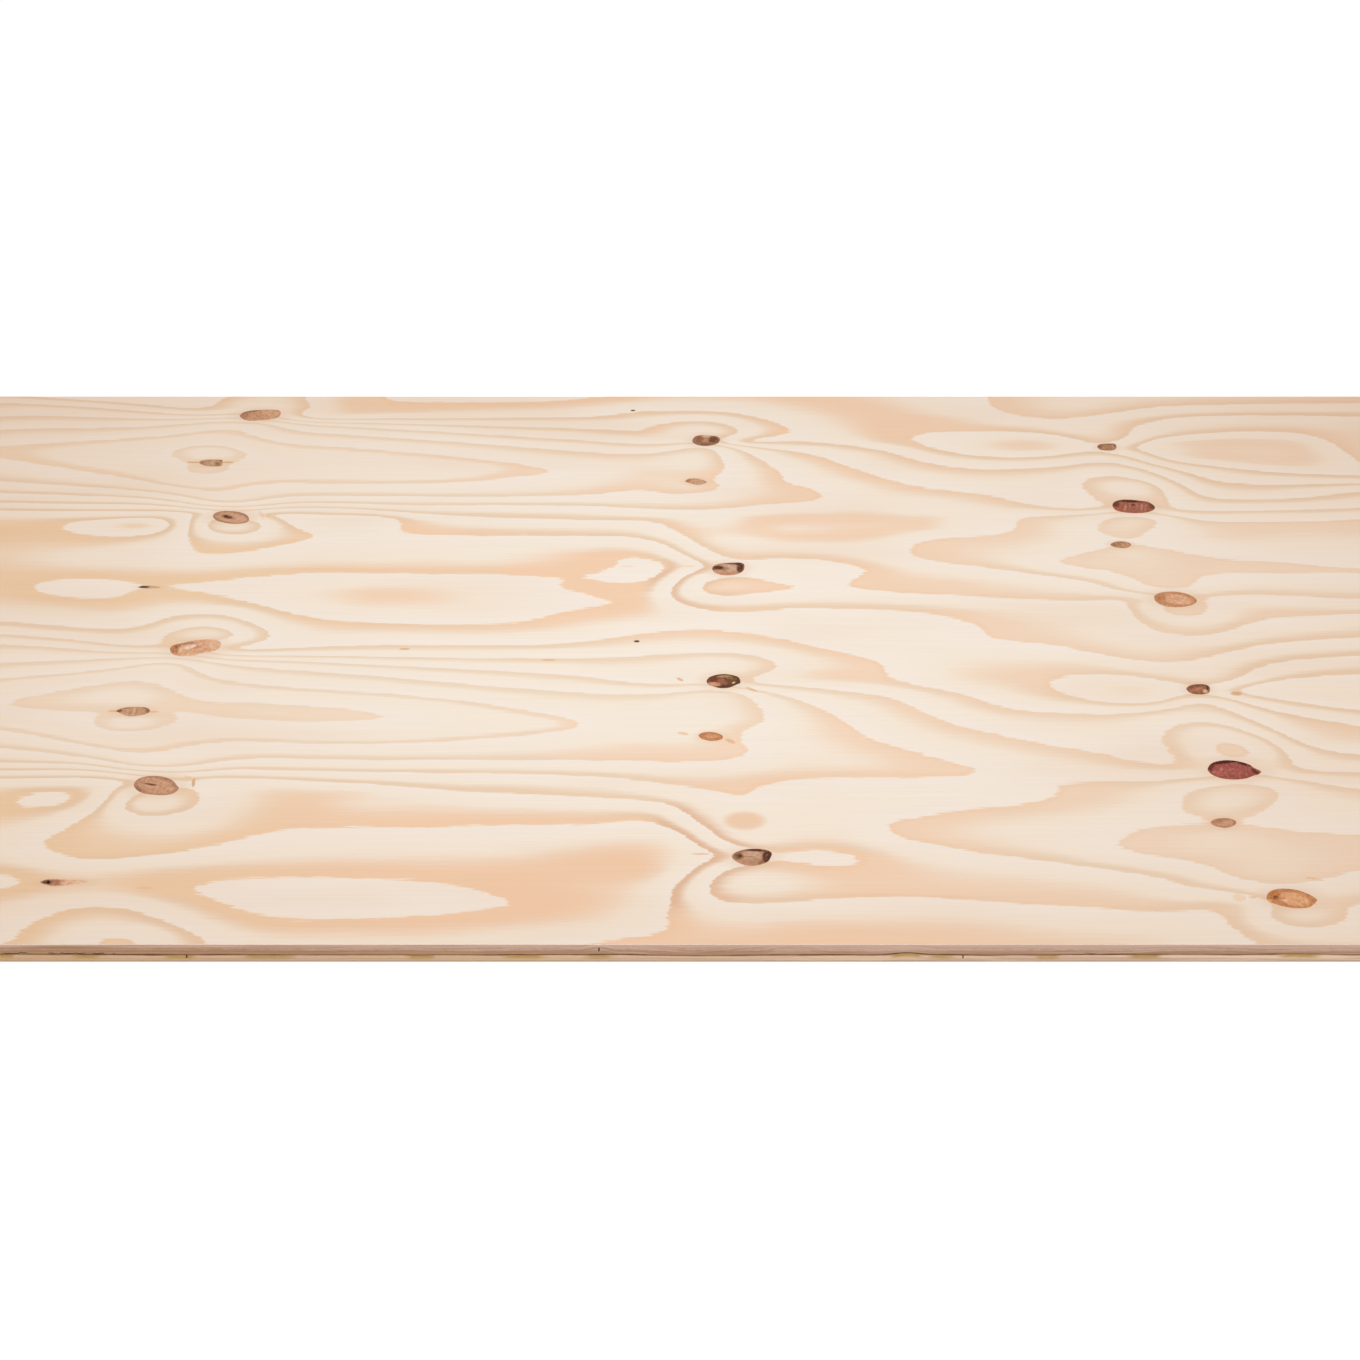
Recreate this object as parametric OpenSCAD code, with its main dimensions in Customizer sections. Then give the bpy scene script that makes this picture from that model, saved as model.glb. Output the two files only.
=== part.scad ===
// Softwood plywood sheet: rotary-cut veneers laid crosswise and pressed into one panel, lying flat.
// The origin is the centre of the underside, +X runs along the face grain and +Z is up.

/* [Sheet] */
// Length of the sheet, along the face grain
sheet_length = 2440; // [600:10:3660]
// Width of the sheet, across the face grain
sheet_width = 1220; // [300:10:1830]
// Bevel where sanding has eased the sharp edges of the two outer faces
arris = 0.4; // [0.1:0.1:1]

/* [Veneers] */
// Thickness of the face veneer
face_thickness = 3.6; // [1.2:0.1:6]
// Thickness of each of the two crossbands
crossband_thickness = 3.6; // [1.2:0.1:6]
// Thickness of the core veneer
core_thickness = 3.6; // [1.2:0.1:6]
// Thickness of the back veneer
back_thickness = 3.6; // [1.2:0.1:6]

/* [Crossband joints] */
// Width of the veneer strips that lie side by side in a crossband
strip_width = 672; // [150:1:1220]
// Gap that is left where two strips butt
joint_gap = 1.2; // [0.2:0.1:4]
// Place of one joint in the upper crossband, from the middle of the sheet
upper_joint = -70; // [-250:1:250]
// Place of one joint in the lower crossband, from the middle of the sheet
lower_joint = 245; // [-250:1:250]

/* [Hidden] */

// Height of the underside of each veneer, stacked from the floor up
lower_crossband_z = back_thickness;
core_z = lower_crossband_z + crossband_thickness;
upper_crossband_z = core_z + core_thickness;
face_z = upper_crossband_z + crossband_thickness;

// How far a cut runs past the wood that it cuts
overrun = 1;

// Section through a veneer of the given span, with the bevel at its two upper corners
module eased_section(span, thickness) {
    half = span / 2;
    polygon([
        [-half, 0],
        [half, 0],
        [half, thickness - arris],
        [half - arris, thickness],
        [-half + arris, thickness],
        [-half, thickness - arris]
    ]);
}

// Full-size veneer, flat below and with the bevel all round its upper face
module outer_veneer(thickness) {
    intersection() {
        rotate([90, 0, 90])
            linear_extrude(sheet_length, center = true)
                eased_section(sheet_width, thickness);
        rotate([90, 0, 0])
            linear_extrude(sheet_width, center = true)
                eased_section(sheet_length, thickness);
    }
}

// Full-size veneer with square edges, for the inside of the sheet
module inner_veneer(thickness) {
    translate([-sheet_length / 2, -sheet_width / 2, 0])
        cube([sheet_length, sheet_width, thickness]);
}

// Places of the joints along the sheet, one strip apart on both sides of the given joint
function joint_places(joint) = [
    for (n = [-ceil(sheet_length / strip_width) : ceil(sheet_length / strip_width)])
        let (x = joint + n * strip_width)
            if (abs(x) < (sheet_length - joint_gap) / 2) x
];

// Crossband: a veneer whose strips run across the sheet and butt at the joints
module crossband(joint) {
    difference() {
        inner_veneer(crossband_thickness);
        for (x = joint_places(joint))
            translate([x - joint_gap / 2, -sheet_width / 2 - overrun, -overrun])
                cube([joint_gap, sheet_width + 2 * overrun, crossband_thickness + 2 * overrun]);
    }
}

module back_veneer() {
    color("burlywood")
        translate([0, 0, back_thickness])
            mirror([0, 0, 1])
                outer_veneer(back_thickness);
}

module lower_crossband() {
    color("tan")
        translate([0, 0, lower_crossband_z])
            crossband(lower_joint);
}

module core_veneer() {
    color("rosybrown")
        translate([0, 0, core_z])
            inner_veneer(core_thickness);
}

module upper_crossband() {
    color("tan")
        translate([0, 0, upper_crossband_z])
            crossband(upper_joint);
}

module face_veneer() {
    color("wheat")
        translate([0, 0, face_z])
            outer_veneer(face_thickness);
}

back_veneer();
lower_crossband();
core_veneer();
upper_crossband();
face_veneer();
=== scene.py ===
import math

import bmesh
import bpy
import numpy as np
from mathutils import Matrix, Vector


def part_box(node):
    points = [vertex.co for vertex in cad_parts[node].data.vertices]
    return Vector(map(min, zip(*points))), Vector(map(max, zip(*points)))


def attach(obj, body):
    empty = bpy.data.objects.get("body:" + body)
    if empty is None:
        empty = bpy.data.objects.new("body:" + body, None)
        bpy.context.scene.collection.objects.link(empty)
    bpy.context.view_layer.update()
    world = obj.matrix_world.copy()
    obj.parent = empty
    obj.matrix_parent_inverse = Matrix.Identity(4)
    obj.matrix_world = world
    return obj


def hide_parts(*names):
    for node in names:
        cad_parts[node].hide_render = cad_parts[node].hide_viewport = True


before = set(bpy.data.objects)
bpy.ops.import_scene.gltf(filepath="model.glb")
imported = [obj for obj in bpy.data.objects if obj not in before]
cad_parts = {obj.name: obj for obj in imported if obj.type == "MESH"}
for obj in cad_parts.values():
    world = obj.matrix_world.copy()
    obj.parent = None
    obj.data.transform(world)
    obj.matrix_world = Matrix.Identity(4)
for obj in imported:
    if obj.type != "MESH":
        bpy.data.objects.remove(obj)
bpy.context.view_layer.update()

# A millimetre in metres; the figure below is drawn in millimetres on the sheet
MM = 0.001

# Ring lines of the face, as drawn: the sharp outer edge of one year's late wood, as (year, points)
RING_LINES = [
    # First turn, valley round the second left knot and the fans of the two big left knots
    (0, [(-850, 447), (-800, 459), (-700, 474), (-620, 488), (-570, 504), (-540, 508), (-515, 488),
         (-470, 464), (-400, 453), (-300, 433), (-200, 407), (-150, 381), (-200, 366), (-260, 351),
         (-350, 347), (-450, 349), (-500, 343), (-540, 326), (-580, 336), (-640, 361), (-700, 382),
         (-770, 408), (-850, 436)]),
    (1, [(-860, 500), (-780, 510), (-700, 511), (-650, 516), (-600, 524), (-560, 532)]),
    (1, [(-495, 523), (-470, 503), (-400, 490), (-300, 474), (-200, 456), (-100, 437), (-40, 433),
         (0, 446), (20, 456)]),
    (1, [(40, 452), (46, 430), (52, 400), (50, 375), (36, 362)]),
    (1, [(46, 345), (40, 326), (10, 318), (-25, 324), (-40, 334), (-100, 317), (-200, 311), (-300, 312),
         (-400, 314), (-450, 312), (-480, 304), (-505, 294), (-540, 296), (-580, 316), (-640, 330),
         (-700, 340), (-780, 352), (-850, 362)]),
    (2, [(-860, 540), (-800, 549), (-700, 543), (-640, 540), (-580, 540), (-550, 546)]),
    (2, [(-485, 531), (-440, 520), (-300, 501), (-200, 486), (-100, 471), (-30, 461), (15, 466)]),
    (2, [(52, 458), (76, 440), (102, 408), (121, 372), (122, 350), (150, 338), (164, 322), (158, 302),
         (105, 290), (50, 279), (0, 276), (-60, 280), (-100, 286), (-200, 289), (-300, 288), (-400, 294),
         (-450, 292), (-480, 284)]),
    (2, [(-545, 286), (-590, 300), (-640, 310), (-700, 315), (-790, 322), (-850, 326)]),
    (3, [(-860, 590), (-780, 584), (-720, 574), (-660, 562), (-600, 552), (-560, 552)]),
    (3, [(-480, 538), (-440, 530), (-300, 522), (-200, 515), (-100, 508), (-47, 500), (-38, 511),
         (-20, 525), (10, 532), (40, 531), (60, 518), (70, 500), (66, 482)]),
    (3, [(58, 466), (100, 452), (150, 436), (190, 405), (225, 375), (260, 350), (300, 331), (350, 319),
         (400, 291), (450, 277), (480, 277)]),
    (3, [(-478, 276), (-430, 281), (-380, 279), (-300, 266), (-200, 254), (-100, 248), (-35, 246),
         (-8, 222), (15, 190), (40, 160), (48, 146)]),
    (3, [(-545, 275), (-600, 288), (-700, 292), (-850, 297)]),
    (4, [(-850, 616), (-780, 604), (-700, 591), (-650, 581), (-600, 570), (-578, 580), (-566, 600),
         (-556, 622)]),
    (4, [(-470, 622), (-458, 595), (-456, 572), (-466, 550), (-440, 539), (-350, 540), (-200, 543),
         (-100, 547), (-60, 561), (0, 563), (50, 562), (88, 548), (115, 528), (136, 503), (128, 489),
         (100, 484), (70, 473)]),
    (4, [(72, 466), (110, 470), (150, 469), (200, 460), (250, 440), (290, 409), (340, 391), (400, 390),
         (450, 397), (500, 410), (535, 398), (560, 376), (585, 342), (612, 308), (700, 307), (780, 325),
         (850, 340)]),
    (4, [(-545, 268), (-600, 272), (-700, 272), (-850, 276)]),
    (4, [(-470, 268), (-400, 262), (-330, 258), (-318, 236), (-312, 215), (-250, 208), (-150, 207),
         (-50, 203), (-25, 193), (0, 164), (14, 147), (30, 136)]),
    (5, [(-372, 612), (-330, 594), (-250, 591), (-180, 592), (-130, 601), (-80, 614)]),
    # Below the third left knot
    (4, [(-548, 262), (-551, 212), (-540, 174), (-520, 157), (-490, 162), (-450, 181), (-408, 201),
         (-425, 222), (-460, 250)]),
    (3, [(-540, 255), (-535, 228), (-515, 211), (-490, 212), (-475, 225), (-470, 245)]),
    (5, [(-692, 232), (-680, 246), (-620, 252), (-588, 248), (-576, 235), (-590, 215), (-620, 206),
         (-660, 210), (-692, 222)]),
    (5, [(-697, 86), (-686, 93), (-650, 96), (-602, 93), (-590, 75), (-594, 57), (-640, 54), (-680, 64),
         (-697, 80)]),
    (5, [(-560, 84), (-520, 90), (-480, 98), (-440, 108), (-380, 113), (-300, 111), (-200, 109),
         (-130, 98), (-119, 94), (-125, 84), (-108, 72), (-97, 62), (-94, 48), (-99, 33), (-117, 22),
         (-140, 15), (-152, 4), (-170, -4), (-250, -8), (-330, -4), (-380, 5), (-420, 22), (-460, 42),
         (-500, 62), (-530, 70), (-558, 76)]),
    (5, [(-98, 94), (-104, 101), (-86, 115), (-63, 124), (-60, 146), (-30, 150), (-15, 126), (-22, 104),
         (-50, 94), (-76, 92)]),
    # Round the third middle knot
    (4, [(14, 118), (0, 104), (-8, 85), (-12, 65), (-5, 46), (10, 32), (40, 20), (70, 20), (110, 28),
         (200, 26), (250, 19), (285, 8), (305, -5), (318, -20), (325, -44), (370, -50), (410, -66),
         (450, -84), (500, -95), (540, -84), (600, -57), (650, -46), (720, -38)]),
    (3, [(60, 148), (90, 150), (150, 146), (190, 132), (205, 122), (188, 105), (180, 92), (200, 72),
         (260, 62), (350, 52), (430, 45), (470, 46), (490, 52)]),
    (3, [(36, 100), (22, 85), (25, 64), (50, 58), (90, 66), (130, 78), (100, 92), (70, 104)]),
    # Valley of the right knots
    (2, [(480, 268), (440, 262), (405, 262), (385, 250), (378, 225), (360, 211), (300, 204), (275, 196),
         (255, 176), (262, 148), (290, 138), (350, 122), (400, 106), (440, 94), (465, 78), (480, 66)]),
    (2, [(552, 264), (575, 254), (600, 246), (700, 246), (780, 252), (850, 256)]),
    (2, [(568, 62), (600, 60), (650, 58), (720, 49)]),
    (3, [(478, 285), (474, 320), (474, 352), (490, 369), (515, 368), (545, 352), (560, 325), (566, 296),
         (565, 276)]),
    (3, [(572, 274), (620, 273), (700, 276), (760, 280), (850, 292)]),
    (1, [(850, 118), (750, 124), (650, 140), (600, 149), (555, 164), (520, 180)]),
    (1, [(475, 176), (440, 160), (412, 139), (440, 126), (470, 116), (490, 98), (508, 76)]),
    (1, [(552, 72), (557, 98), (600, 113), (700, 112), (850, 106)]),
    (1, [(500, 262), (478, 240), (472, 212), (485, 200)]),
    (1, [(512, 205), (525, 225), (540, 245), (535, 258)]),
    (3, [(482, 40), (484, 15), (490, -10), (505, -28), (535, -36), (570, -27), (600, -5), (640, 6),
         (720, 15)]),
    (2, [(505, 38), (515, 15), (535, 5), (558, 18), (565, 40)]),
    # Round the first right knot
    (5, [(498, 462), (470, 480), (440, 494), (400, 499), (340, 499), (300, 493), (284, 474), (300, 452),
         (340, 432), (380, 424), (430, 425), (480, 440)]),
    (6, [(545, 462), (570, 476), (610, 488), (660, 497), (710, 500), (745, 496), (772, 476), (790, 440),
         (802, 405)]),
    (6, [(545, 446), (570, 424), (600, 408), (650, 394), (700, 380), (780, 372), (850, 366)]),
    (5, [(534, 468), (546, 500), (562, 521), (586, 534), (622, 545), (700, 549), (850, 545)]),
    (5, [(530, 432), (552, 408), (600, 377), (632, 353), (700, 346), (850, 352)]),
    (4, [(382, 620), (384, 580), (392, 565), (420, 546), (470, 539), (510, 549), (550, 563), (600, 577),
         (700, 584), (850, 588)]),
    # Second turn, left
    (-1, [(-598, 424), (-594, 448), (-565, 459), (-535, 446), (-518, 424)]),
    (-1, [(-572, 398), (-568, 382), (-555, 377), (-542, 388), (-540, 400)]),
    (-1, [(-560, -200), (-620, -196), (-675, -180), (-640, -162), (-590, -142), (-550, -131),
         (-525, -142), (-500, -165), (-450, -178), (-380, -184), (-320, -195), (-284, -211), (-340, -215),
         (-400, -217), (-460, -206), (-520, -199)]),
    (-1, [(-572, -212), (-565, -230), (-540, -236), (-518, -226), (-512, -210)]),
    (0, [(-720, -134), (-680, -126), (-600, -112), (-560, -101), (-525, -91), (-508, -96), (-490, -118),
         (-465, -131), (-400, -146), (-300, -159), (-200, -179), (-130, -205), (-95, -225), (-130, -238),
         (-200, -254), (-300, -263), (-400, -259), (-450, -258), (-500, -274), (-530, -280), (-570, -268),
         (-620, -250), (-680, -232)]),
    (1, [(-720, -98), (-650, -90), (-600, -86), (-550, -82)]),
    (1, [(-470, -95), (-440, -103), (-400, -109), (-300, -124), (-200, -143), (-100, -157), (-30, -162),
         (20, -150)]),
    (1, [(56, -152), (76, -178), (84, -205), (78, -222), (52, -240)]),
    (1, [(52, -256), (71, -270), (66, -286), (30, -296), (0, -298), (-100, -294), (-200, -293),
         (-300, -293), (-400, -290), (-450, -297), (-470, -306)]),
    (1, [(-525, -306), (-560, -292), (-600, -281), (-660, -270)]),
    (2, [(-720, -52), (-660, -58), (-600, -68), (-550, -72)]),
    (3, [(-720, -30), (-660, -38), (-620, -46), (-560, -60)]),
    (4, [(-730, 4), (-690, -6), (-640, -14), (-590, -19), (-565, -16), (-552, -2), (-540, 10), (-505, 18),
         (-475, 10), (-445, -12), (-428, -34), (-445, -54), (-470, -62)]),
    (3, [(-542, -40), (-530, -25), (-505, -12), (-480, -18), (-466, -40)]),
    (2, [(-465, -86), (-400, -90), (-300, -100), (-200, -110), (-100, -123), (-50, -137), (0, -142),
         (20, -140)]),
    (3, [(-455, -78), (-400, -79), (-300, -81), (-200, -84), (-100, -84), (-40, -79), (0, -74), (50, -72),
         (84, -82), (99, -100), (98, -114), (78, -128)]),
    (4, [(-450, -68), (-400, -62), (-350, -57), (-250, -55), (-150, -54), (-100, -48), (-50, -32),
         (0, -20), (50, -24), (100, -38), (150, -65), (195, -84), (211, -105), (218, -126), (232, -140),
         (250, -147), (285, -160), (312, -182), (350, -196), (420, -201), (470, -196), (500, -183),
         (520, -176), (548, -196), (580, -233), (612, -266), (650, -280), (700, -290)]),
    (2, [(66, -148), (100, -162), (135, -186), (162, -214), (185, -250), (220, -272), (260, -296),
         (288, -310), (255, -326), (150, -327), (100, -331), (75, -342), (62, -366), (50, -366),
         (38, -352), (0, -343), (-50, -329), (-100, -322), (-200, -318), (-300, -316), (-400, -312),
         (-440, -312), (-465, -318)]),
    (2, [(-525, -315), (-570, -303), (-660, -298)]),
    (3, [(70, -142), (110, -142), (160, -154), (210, -166), (235, -190), (270, -222), (320, -246),
         (360, -264), (400, -276), (440, -293), (475, -298)]),
    (3, [(-520, -322), (-570, -312), (-660, -313)]),
    (3, [(-455, -325), (-400, -328), (-300, -338), (-200, -353), (-100, -362), (-20, -371), (0, -389),
         (18, -413), (34, -434), (50, -450)]),
    (3, [(482, -300), (474, -262), (478, -238), (500, -220), (525, -219), (555, -234), (580, -262),
         (588, -292), (590, -308)]),
    (3, [(595, -312), (650, -316), (700, -316)]),
    (2, [(516, -285), (520, -262), (535, -256), (550, -266), (556, -285)]),
    (5, [(500, -138), (470, -126), (430, -120), (395, -124), (374, -141), (390, -161), (425, -177),
         (475, -180), (500, -165)]),
    (5, [(549, -144), (569, -128), (590, -106), (626, -90), (700, -79)]),
    (5, [(545, -165), (570, -184), (600, -199), (650, -218), (700, -232)]),
    (6, [(556, -148), (600, -134), (650, -124), (700, -118)]),
    (6, [(556, -157), (600, -172), (650, -188), (700, -200)]),
    (4, [(-520, -330), (-570, -328), (-660, -328)]),
    (4, [(-530, -345), (-540, -375), (-555, -400), (-585, -442), (-560, -466), (-525, -475), (-480, -467),
         (-430, -451), (-405, -440), (-380, -425), (-330, -419), (-250, -417), (-150, -414), (-60, -412),
         (-20, -411), (2, -426), (20, -450), (35, -462)]),
    (3, [(-518, -350), (-520, -375), (-510, -392), (-490, -396), (-465, -385), (-455, -365),
         (-458, -345)]),
    (5, [(-618, -365), (-600, -356), (-572, -356), (-575, -372), (-590, -381), (-612, -374)]),
    (4, [(32, -474), (16, -485), (4, -503), (-7, -522), (-10, -545), (-13, -565), (-14, -579),
         (-22, -590), (-50, -598), (-80, -607)]),
    (3, [(42, -484), (27, -506), (21, -528), (32, -541), (60, -545), (110, -541), (170, -536),
         (250, -541), (300, -547), (400, -557), (470, -561), (490, -550)]),
    (2, [(498, -327), (440, -332), (375, -334), (358, -346), (352, -362), (320, -376), (260, -386),
         (225, -398), (190, -410), (200, -434), (250, -454), (300, -468), (350, -480), (400, -494),
         (440, -506), (458, -526), (485, -520)]),
    (1, [(700, -436), (620, -429), (560, -422), (520, -410)]),
    (1, [(490, -412), (450, -413), (420, -418), (412, -440), (395, -452), (420, -466), (470, -478),
         (490, -500), (512, -515)]),
    (1, [(515, -338), (485, -350), (470, -372), (480, -395), (490, -402)]),
    (1, [(515, -402), (540, -390), (560, -360), (565, -350), (550, -338)]),
    (3, [(478, -562), (484, -585), (500, -612)]),
    (2, [(515, -560), (530, -582), (555, -583), (580, -570), (583, -550)]),
    (3, [(92, -468), (110, -455), (140, -456), (165, -470), (140, -482), (110, -483)]),
    (2.84, [(75, 249), (100, 255), (160, 260), (225, 260), (245, 254), (284, 252), (282, 230), (255, 226),
         (235, 214), (215, 206), (160, 196), (110, 205), (86, 215), (74, 232)]),
    (6.8, [(600, 465), (650, 471), (700, 474), (735, 467), (750, 445), (753, 420), (738, 406), (700, 406),
         (650, 416), (612, 432), (645, 447)]),
    (5, [(-428, -514), (-400, -507), (-350, -504), (-260, -507), (-200, -516), (-182, -529), (-156, -535),
         (-150, -550), (-200, -560), (-250, -567), (-310, -571), (-360, -563), (-400, -545),
         (-425, -528)]),
    (4, [(-577, -606), (-569, -580), (-549, -560), (-520, -548), (-480, -556), (-448, -575), (-418, -598),
         (-402, -620)]),
    (3, [(-505, -605), (-490, -596), (-470, -602), (-460, -615)]),
]

# Single ring levels between the lines, as (x, y, level)
LEVEL_MARKS = [
    (-565, 438, -1.85), (-540, 434, -1.8), (-584, 436, -1.7), (-560, 450, -1.6), (-556, 391, -1.7),
    (-556, 384, -1.5), (-592, 389, -0.72), (-518, 389, -0.72), (-520, 600, 3.45), (-560, 590, 3.6),
    (-500, 578, 3.35), (-420, 585, 4.75), (-400, 600, 4.85), (-450, 600, 4.55), (20, 513, 2.45),
    (0, 500, 2.4), (45, 508, 2.45), (2, 341, 0.55), (670, 435, 6.72), (700, 455, 6.7), (715, 425, 6.7),
    (735, 445, 6.72), (620, 482, 6.3), (700, 487, 6.3), (770, 460, 6.3), (596, 448, 6.4),
    (600, 414, 6.35), (700, 391, 6.35), (780, 400, 6.3), (-780, 230, 4.85), (-830, 220, 4.85),
    (-500, 232, 2.3), (60, 254, 2.4), (160, 274, 2.35), (262, 267, 2.35), (302, 240, 2.35),
    (262, 212, 2.4), (160, 181, 2.4), (78, 199, 2.4), (505, 222, 0.55), (-680, 430, -0.6),
    (-450, 410, -0.6), (-350, 395, -0.55), (-250, 390, -0.45), (-100, 390, 0.35), (0, 400, 0.5),
    (-30, 380, 0.74), (60, 320, 1.4), (80, 390, 1.5), (200, 310, 2.3), (300, 290, 2.3), (180, 240, 2.74),
    (240, 240, 2.7), (200, 222, 2.74), (122, 226, 2.45), (264, 242, 2.74), (50, 240, 2.35),
    (60, 200, 2.4), (150, 185, 2.4), (230, 190, 2.3), (0, 585, 4.35), (160, 520, 4.35), (190, 480, 4.35),
    (150, 600, 4.8), (230, 570, 4.82), (240, 500, 4.85), (250, 470, 4.85), (330, 530, 4.82),
    (320, 590, 4.35), (420, 580, 3.8), (480, 595, 3.5), (500, 570, 3.6), (480, 500, 4.4),
    (508, 516, 4.45), (545, 515, 4.88), (539, 494, 4.85), (350, 470, 5.4), (395, 460, 5.8),
    (775, 435, 6.3), (-720, 222, 4.88), (-740, 200, 4.8), (-650, 230, 5.35), (-605, 237, 5.85),
    (-615, 240, 5.8), (-650, 190, 4.78), (-650, 150, 4.35), (-500, 140, 4.35), (-380, 180, 4.35),
    (-360, 235, 4.3), (-250, 168, 4.52), (-330, 152, 4.45), (-220, 150, 4.45), (-100, 165, 4.78),
    (-250, 187, 4.35), (-100, 188, 4.3), (-120, 130, 4.85), (-330, 65, 5.78), (-270, 62, 5.72),
    (-420, 70, 5.4), (-200, 40, 5.4), (-60, 60, 4.86), (-60, 20, 4.82), (-36, 50, 4.86), (-44, 32, 4.86),
    (-30, 30, 4.75), (-5, 92, 4.35), (-25, 84, 4.85), (-30, 70, 4.82), (-18, 40, 4.35), (-10, 0, 4.4),
    (-100, -25, 4.4), (-300, -35, 4.4), (-640, 75, 5.4), (-650, 115, 4.8), (-650, 40, 4.8),
    (-580, 60, 4.8), (-590, 30, 4.75), (-560, 20, 4.4), (-650, 12, 4.4), (-730, 80, 4.8), (50, 80, 2.75),
    (100, 115, 3.3), (150, 105, 3.35), (10, 60, 3.4), (300, 90, 2.8), (250, 95, 2.8), (420, 70, 2.52),
    (300, 46, 3.3), (350, -10, 3.8), (380, -40, 3.85), (450, 0, 3.4), (450, -40, 3.5), (150, -10, 4.4),
    (250, -70, 4.4), (350, -120, 4.82), (300, -125, 4.72), (250, -120, 4.4), (420, -90, 4.5),
    (420, -145, 5.4), (400, 170, 1.45), (450, 200, 1.4), (350, 170, 1.6), (300, 170, 1.82),
    (480, 150, 0.75), (530, 130, 0.8), (650, 125, 0.8), (500, 165, 0.55), (520, 100, 0.8),
    (560, 200, 1.3), (650, 220, 1.8), (600, 205, 1.72), (602, 22, 2.76), (650, 170, 1.3), (500, 238, 0.5),
    (515, 330, 2.4), (430, 330, 3.3), (-545, -165, -1.7), (-575, -160, -1.6), (-615, -172, -1.35),
    (-542, -217, -1.9), (-542, -226, -1.72), (-557, -221, -1.72), (-527, -219, -1.72), (-420, -192, -1.4),
    (-400, -207, -1.2), (-340, -205, -1.22), (-230, -215, -0.6), (-160, -217, -0.5), (-125, -222, -0.36),
    (-400, -235, -0.6), (20, -200, 0.3), (45, -215, 0.36), (0, -235, 0.4), (-50, -220, 0.4),
    (0, -253, 0.42), (-40, -250, 0.42), (38, -247, 0.5), (0, -270, 0.8), (-50, -265, 0.75),
    (100, -290, 1.5), (160, -300, 1.5), (120, -240, 1.5), (220, -300, 1.8), (60, -380, 2.4),
    (98, -405, 2.4), (60, -404, 2.4), (14, -385, 2.55), (33, -410, 2.55), (48, -434, 2.55),
    (88, -380, 2.4), (88, -426, 2.4), (64, -438, 2.45), (30, -392, 2.45), (150, -370, 2.45),
    (250, -350, 2.3), (150, -420, 2.45), (230, -420, 1.8), (300, -420, 1.5), (400, -400, 1.4),
    (450, -370, 1.4), (450, -445, 0.78), (520, -450, 0.7), (515, -370, 0.4), (500, -385, 0.45),
    (540, -365, 0.45), (500, -430, 0.6), (200, -490, 2.8), (250, -520, 2.8), (150, -515, 2.78),
    (310, -500, 2.6), (70, -515, 2.4), (46, -512, 2.45), (400, -530, 2.7), (150, -550, 3.3),
    (250, -553, 3.35), (100, -585, 3.8), (250, -590, 3.8), (350, -590, 3.6), (420, -590, 3.5),
    (-20, -540, 4.35), (-30, -580, 4.4), (-60, -470, 4.85), (-32, -470, 4.86), (-26, -490, 4.8),
    (-80, -520, 4.72), (-3, -474, 4.38), (-100, -560, 4.8), (-150, -450, 4.4), (-300, -450, 4.35),
    (-300, -485, 4.82), (-520, -513, 4.66), (-485, -514, 4.87), (-450, -512, 4.90), (-455, -494, 4.80),
    (-455, -532, 4.90), (-420, -545, 4.93), (-470, -522, 4.88), (-394, -563, 4.92), (-360, -577, 4.90),
    (-410, -490, 4.82), (-500, -480, 4.4), (-520, -535, 4.4), (-602, -492, 4.86), (-606, -530, 4.88),
    (-600, -510, 5.1), (-300, -585, 4.75), (-300, -608, 4.5), (-300, -535, 5.3), (-330, -385, 3.8),
    (-200, -398, 3.85), (-250, -365, 3.5), (-300, -372, 3.5), (-450, -410, 3.4), (-420, -370, 3.4),
    (-520, -440, 3.8), (-600, -420, 4.4), (445, 455, 5.8), (460, -150, 5.75), (-505, -30, 2.35),
    (-485, -32, 2.4), (20, 425, 0.35), (25, 400, 0.38), (20, -100, 2.3), (60, -100, 2.3), (0, -108, 2.3),
    (-490, -372, 2.3), (-505, -372, 2.4), (-380, -352, 3.72), (-380, -382, 3.8), (-300, -352, 3.7),
    (550, -563, 1.25), (490, 338, 2.45), (545, 335, 2.45), (515, 352, 2.45), (700, 215, 1.7),
    (780, 220, 1.8), (530, -240, 2.45), (496, -250, 2.4), (510, -232, 2.45), (-114, 79, 4.87),
    (-92, 79, 4.87), (-70, 80, 4.87), (-45, 80, 4.86), (-120, -399, 3.87), (-70, -399, 3.88),
    (-30, -396, 3.88), (-10, -405, 3.86), (8, -424, 3.84), (-60, -384, 3.5), (-12, -388, 3.5),
    (22, -489, 3.86), (9, -507, 3.87), (0, -527, 3.88), (-3, -550, 3.88), (-5, -572, 3.86),
    (17, -520, 3.4), (13, -545, 3.45), (36, -507, 2.8), (31, -524, 2.86), (-3, 87, 3.87), (-5, 66, 3.88),
    (2, 48, 3.86), (30, 78, 2.86), (-508, -378, 2.42), (-490, -383, 2.42), (-471, -373, 2.42),
    (110, -122, 3.62), (150, -126, 3.85), (190, -126, 3.88), (150, -141, 3.35), (196, -148, 3.4),
    (110, -133, 3.3), (140, -100, 3.5), (170, -104, 3.72), (185, -108, 3.82),
]
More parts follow.
